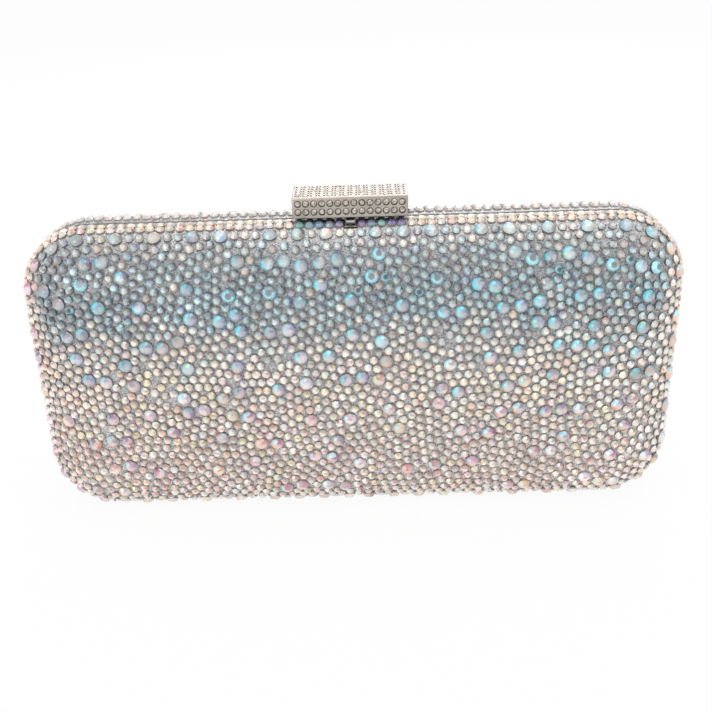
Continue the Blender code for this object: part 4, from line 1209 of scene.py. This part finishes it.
class CLUTCH_OT_make_clasp(bpy.types.Operator):
    """Makes the clasp's bar with its cups, its beads and its clear stones"""

    bl_idname = "clutch.make_clasp"
    bl_label = "Clasp bar"

    columns = 14
    top_rows = 5
    side_rows = 2
    side_row_pitch = 2.5 * MM
    cup_radius = 1.06 * MM
    cup_depth = 0.5 * MM
    stone_radius = 0.96 * MM
    stone_height = 0.62 * MM
    bead_radius = 0.2 * MM
    edge = 0.3 * MM
    pocket_gap = 0.3 * MM
    # How far the clear stones lean, in degrees, and their facets' tones with the share of each: lighter and
    # darker tones of the metal, a painted reflection of it in the clear stones
    stone_seed = 5
    stone_lean = 4.0
    reflected_metal_tones = ("#DED8CF", "#BAB1A7", "#A39A90", "#7D756D", "#C8C0B6")
    tone_shares = (0.12, 0.32, 0.28, 0.12, 0.16)

    def execute(self, context):
        plate = clasp_plate()
        low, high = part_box("clasp_bar")
        shape = bmesh.new()
        add_box(shape, low, high)
        bmesh.ops.bevel(shape, geom=shape.edges, offset=self.edge, affect="EDGES", segments=3,
                        profile=0.5, material=-1)
        bar = put_piece(shape, "jewelled_bar", "clasp", [plate])
        places = self.cup_places(context.scene.clutch_sizes.cup_pitch, low, high)
        cups = bmesh.new()
        for point, direction in places:
            bmesh.ops.create_cone(cups, cap_ends=True, segments=16, radius1=self.cup_radius,
                                  radius2=self.cup_radius, depth=2 * self.cup_depth,
                                  matrix=facing(point, direction))
        cut_out(bar, cups, cup_painted_shade())
        lever_low, lever_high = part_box("clasp_lever")
        margin = Vector((self.pocket_gap, self.pocket_gap, 0.0))
        pocket = bmesh.new()
        add_box(pocket, Vector((lever_low.x, lever_low.y, low.z - FAR)) - margin,
                lever_high + margin + Vector((0.0, 0.0, self.pocket_gap)))
        cut_out(bar, pocket)
        shade_round(bar, BAR_SHARP)
        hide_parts("clasp_bar")
        self.add_stones(places)
        self.add_beads(context.scene.clutch_sizes.cup_pitch, low, high, plate)
        return {"FINISHED"}

    def cup_places(self, pitch, low, high):
        """Where the stones sit: (point, outward direction) on the front, the rear and the top."""
        middle = (low + high) / 2
        places = []
        for x in spread(self.columns, pitch):
            for rise in spread(self.side_rows, self.side_row_pitch):
                places.append((Vector((x, low.y, middle.z + rise)), Vector((0, -1, 0))))
                places.append((Vector((x, high.y, middle.z + rise)), Vector((0, 1, 0))))
            for y in spread(self.top_rows, pitch):
                places.append((Vector((x, y, high.z)), Vector((0, 0, 1))))
        return places

    def add_stones(self, places):
        """Clear stones in the cups, each facet painted in a lighter or darker tone of the metal, a painted
        reflection of it.
        """
        rng = np.random.default_rng(self.stone_seed)
        gem = cut_gem(SMALL_CUT, 2 * self.stone_radius, self.stone_height)
        shape = bmesh.new()
        for point, direction in places:
            spin = Matrix.Rotation(rng.uniform(0, math.tau), 4, "Z")
            lean = Matrix.Rotation(math.radians(rng.uniform(-self.stone_lean, self.stone_lean)), 4, "X")
            stamp(shape, gem, facing(point - direction * self.cup_depth, direction) @ spin @ lean)
        bpy.data.meshes.remove(gem)
        piece = put_piece(shape, "clasp_crystals", "clasp", [clear_crystal()])
        faces = piece.data.polygons
        tones = hues(self.reflected_metal_tones)[rng.choice(len(self.reflected_metal_tones), len(faces), p=self.tone_shares)]
        counts = np.zeros(len(faces), dtype=int)
        faces.foreach_get("loop_total", counts)
        set_facet_colours(piece.data, np.repeat(tones, counts, axis=0))

    def add_beads(self, pitch, low, high, plate):
        """Small beads of plate raised between the cups, which hold the stones."""
        middle = (low + high) / 2
        shape = bmesh.new()
        for x in spread(self.columns - 1, pitch):
            spots = [(x, low.y, middle.z), (x, high.y, middle.z)]
            spots += [(x, y, high.z) for y in spread(self.top_rows - 1, pitch)]
            for spot in spots:
                bmesh.ops.create_icosphere(shape, subdivisions=1, radius=self.bead_radius,
                                           matrix=Matrix.Translation(spot))
        put_piece(shape, "clasp_beads", "clasp", [plate]).data.shade_smooth()


class CLUTCH_OT_finish_hardware(bpy.types.Operator):
    """Gives the shells, hinges, bracket, springs and fasteners their own finish"""

    bl_idname = "clutch.finish_hardware"
    bl_label = "Hardware finishes"

    pressed_leaf = 0.55

    def execute(self, context):
        finishes = {"shell_plastic": moulded_shell(), "hinge_steel": brushed_steel(),
                    "clasp_metal": clasp_plate(), "spring_steel": spring_steel()}
        for part in frame["record"]["subparts"]:
            finish = finishes.get(part["material_slot"])
            piece = frame["nodes"][part["node"]]
            if finish and not piece.hide_render:
                piece.data.materials.clear()
                piece.data.materials.append(finish)
        # The bent leaf under the bar gets a mesh of its own
        leaf = frame["nodes"]["clasp_spring"]
        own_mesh(leaf)
        return {"FINISHED"}


class CLUTCH_OT_make_stage(bpy.types.Operator):
    """Sets up the white floor, the soft lamps, the world and the camera"""

    bl_idname = "clutch.make_stage"
    bl_label = "Stage"

    camera_place = Vector((4.162, -284.974, 182.761)) * MM
    camera_pitch = math.radians(25.256)
    camera_yaw = math.radians(-0.783)
    camera_roll = math.radians(1.853)
    camera_lens = 49.74
    floor_size = 8.0
    floor_whiteness = 0.93
    world_light = 0.8
    # Each lamp's name, place, size and power in watts
    lamps = (("overhead_softbox", (0.1, -0.25, 1.1), 0.9, 3.6),
             ("front_fill", (-0.7, -1.05, 0.22), 0.9, 4.2),
             ("rear_strip", (0.1, 0.9, 0.55), 0.6, 1.6))

    def execute(self, context):
        scene = context.scene
        scene.view_settings.view_transform = "Standard"
        self.add_floor()
        self.add_world(scene)
        for name, place, size, power in self.lamps:
            lamp = bpy.data.lights.new(name, "AREA")
            lamp.size = size
            lamp.energy = power
            holder = bpy.data.objects.new(name, lamp)
            holder.location = place
            aim = Vector((0.0, 0.0, MIDDLE)) - Vector(place)
            holder.rotation_euler = aim.to_track_quat("-Z", "Y").to_euler()
            scene.collection.objects.link(holder)
        camera = bpy.data.objects.new("camera", bpy.data.cameras.new("camera"))
        camera.data.lens = self.camera_lens
        camera.data.clip_start = 1.0 * MM
        camera.matrix_world = (Matrix.Translation(self.camera_place)
                               @ Matrix.Rotation(-self.camera_yaw, 4, "Z")
                               @ Matrix.Rotation(math.pi / 2 - self.camera_pitch, 4, "X")
                               @ Matrix.Rotation(-self.camera_roll, 4, "Z"))
        scene.collection.objects.link(camera)
        scene.camera = camera
        return {"FINISHED"}

    def seen_directly(self, tree):
        """1 where the camera sees a surface itself, or in a reflection or through glass."""
        path = node(tree, "ShaderNodeLightPath").outputs
        seen = path["Is Camera Ray"]
        for way in ("Is Glossy Ray", "Is Transmission Ray"):
            seen = node(tree, "ShaderNodeMath", {0: seen, 1: path[way]}, {"operation": "MAXIMUM"})
        return seen

    def add_floor(self):
        """A plain white floor that keeps a light shadow and is white to the camera and in reflections."""
        material, tree = start_material("white_paper_sweep")
        share = node(tree, "ShaderNodeMath", {0: self.seen_directly(tree), 1: self.floor_whiteness},
                     {"operation": "MULTIPLY"})
        paper = node(tree, "ShaderNodeBsdfDiffuse", {"Color": (*linear("#F2F2F2"), 1.0)})
        glow = node(tree, "ShaderNodeEmission", {"Color": (*WHITE, 1.0), "Strength": 1.0})
        close_material(material, node(tree, "ShaderNodeMixShader", {0: share, 1: paper, 2: glow}))
        shape = bmesh.new()
        bmesh.ops.create_grid(shape, x_segments=1, y_segments=1, size=self.floor_size / 2)
        make_object(shape, "floor", [material])

    def add_world(self, scene):
        """White round about as the camera and the gloss see it, and a softer level as light."""
        world = bpy.data.worlds.new("white_studio")
        scene.world = world
        world.use_nodes = True
        tree = world.node_tree
        tree.nodes.clear()
        strength = node(tree, "ShaderNodeMapRange",
                        {"Value": self.seen_directly(tree), "To Min": self.world_light, "To Max": 1.0})
        glow = node(tree, "ShaderNodeBackground", {"Color": (*WHITE, 1.0), "Strength": strength})
        node(tree, "ShaderNodeOutputWorld", {"Surface": glow})


class CLUTCH_PT_panel(bpy.types.Panel):
    """The bag's pieces and its stage, one button each"""

    bl_idname = "CLUTCH_PT_panel"
    bl_label = "Crystal Clutch Bag"
    bl_space_type = "VIEW_3D"
    bl_region_type = "UI"
    bl_category = "Clutch"

    def draw(self, context):
        for group in (context.scene.clutch_sizes, context.scene.clutch_colours):
            box = self.layout.box()
            for name in group.__annotations__:
                box.prop(group, name)
        for maker in MAKERS:
            self.layout.operator(maker.bl_idname)


MAKERS = (CLUTCH_OT_make_fabric, CLUTCH_OT_make_crystals, CLUTCH_OT_make_frames, CLUTCH_OT_make_linings,
          CLUTCH_OT_make_clasp, CLUTCH_OT_finish_hardware, CLUTCH_OT_make_stage)
CLASSES = (ClutchSizes, ClutchColours, *MAKERS, CLUTCH_PT_panel)


def register():
    for listed in CLASSES:
        bpy.utils.register_class(listed)
    bpy.types.Scene.clutch_sizes = PointerProperty(type=ClutchSizes)
    bpy.types.Scene.clutch_colours = PointerProperty(type=ClutchColours)


def unregister():
    del bpy.types.Scene.clutch_colours
    del bpy.types.Scene.clutch_sizes
    for listed in reversed(CLASSES):
        bpy.utils.unregister_class(listed)


def main():
    """Dresses the bag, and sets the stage."""
    register()
    bpy.ops.clutch.make_fabric()
    bpy.ops.clutch.make_crystals()
    bpy.ops.clutch.make_frames()
    bpy.ops.clutch.make_linings()
    bpy.ops.clutch.make_clasp()
    bpy.ops.clutch.finish_hardware()
    bpy.ops.clutch.make_stage()


if __name__ == "__main__":
    main()
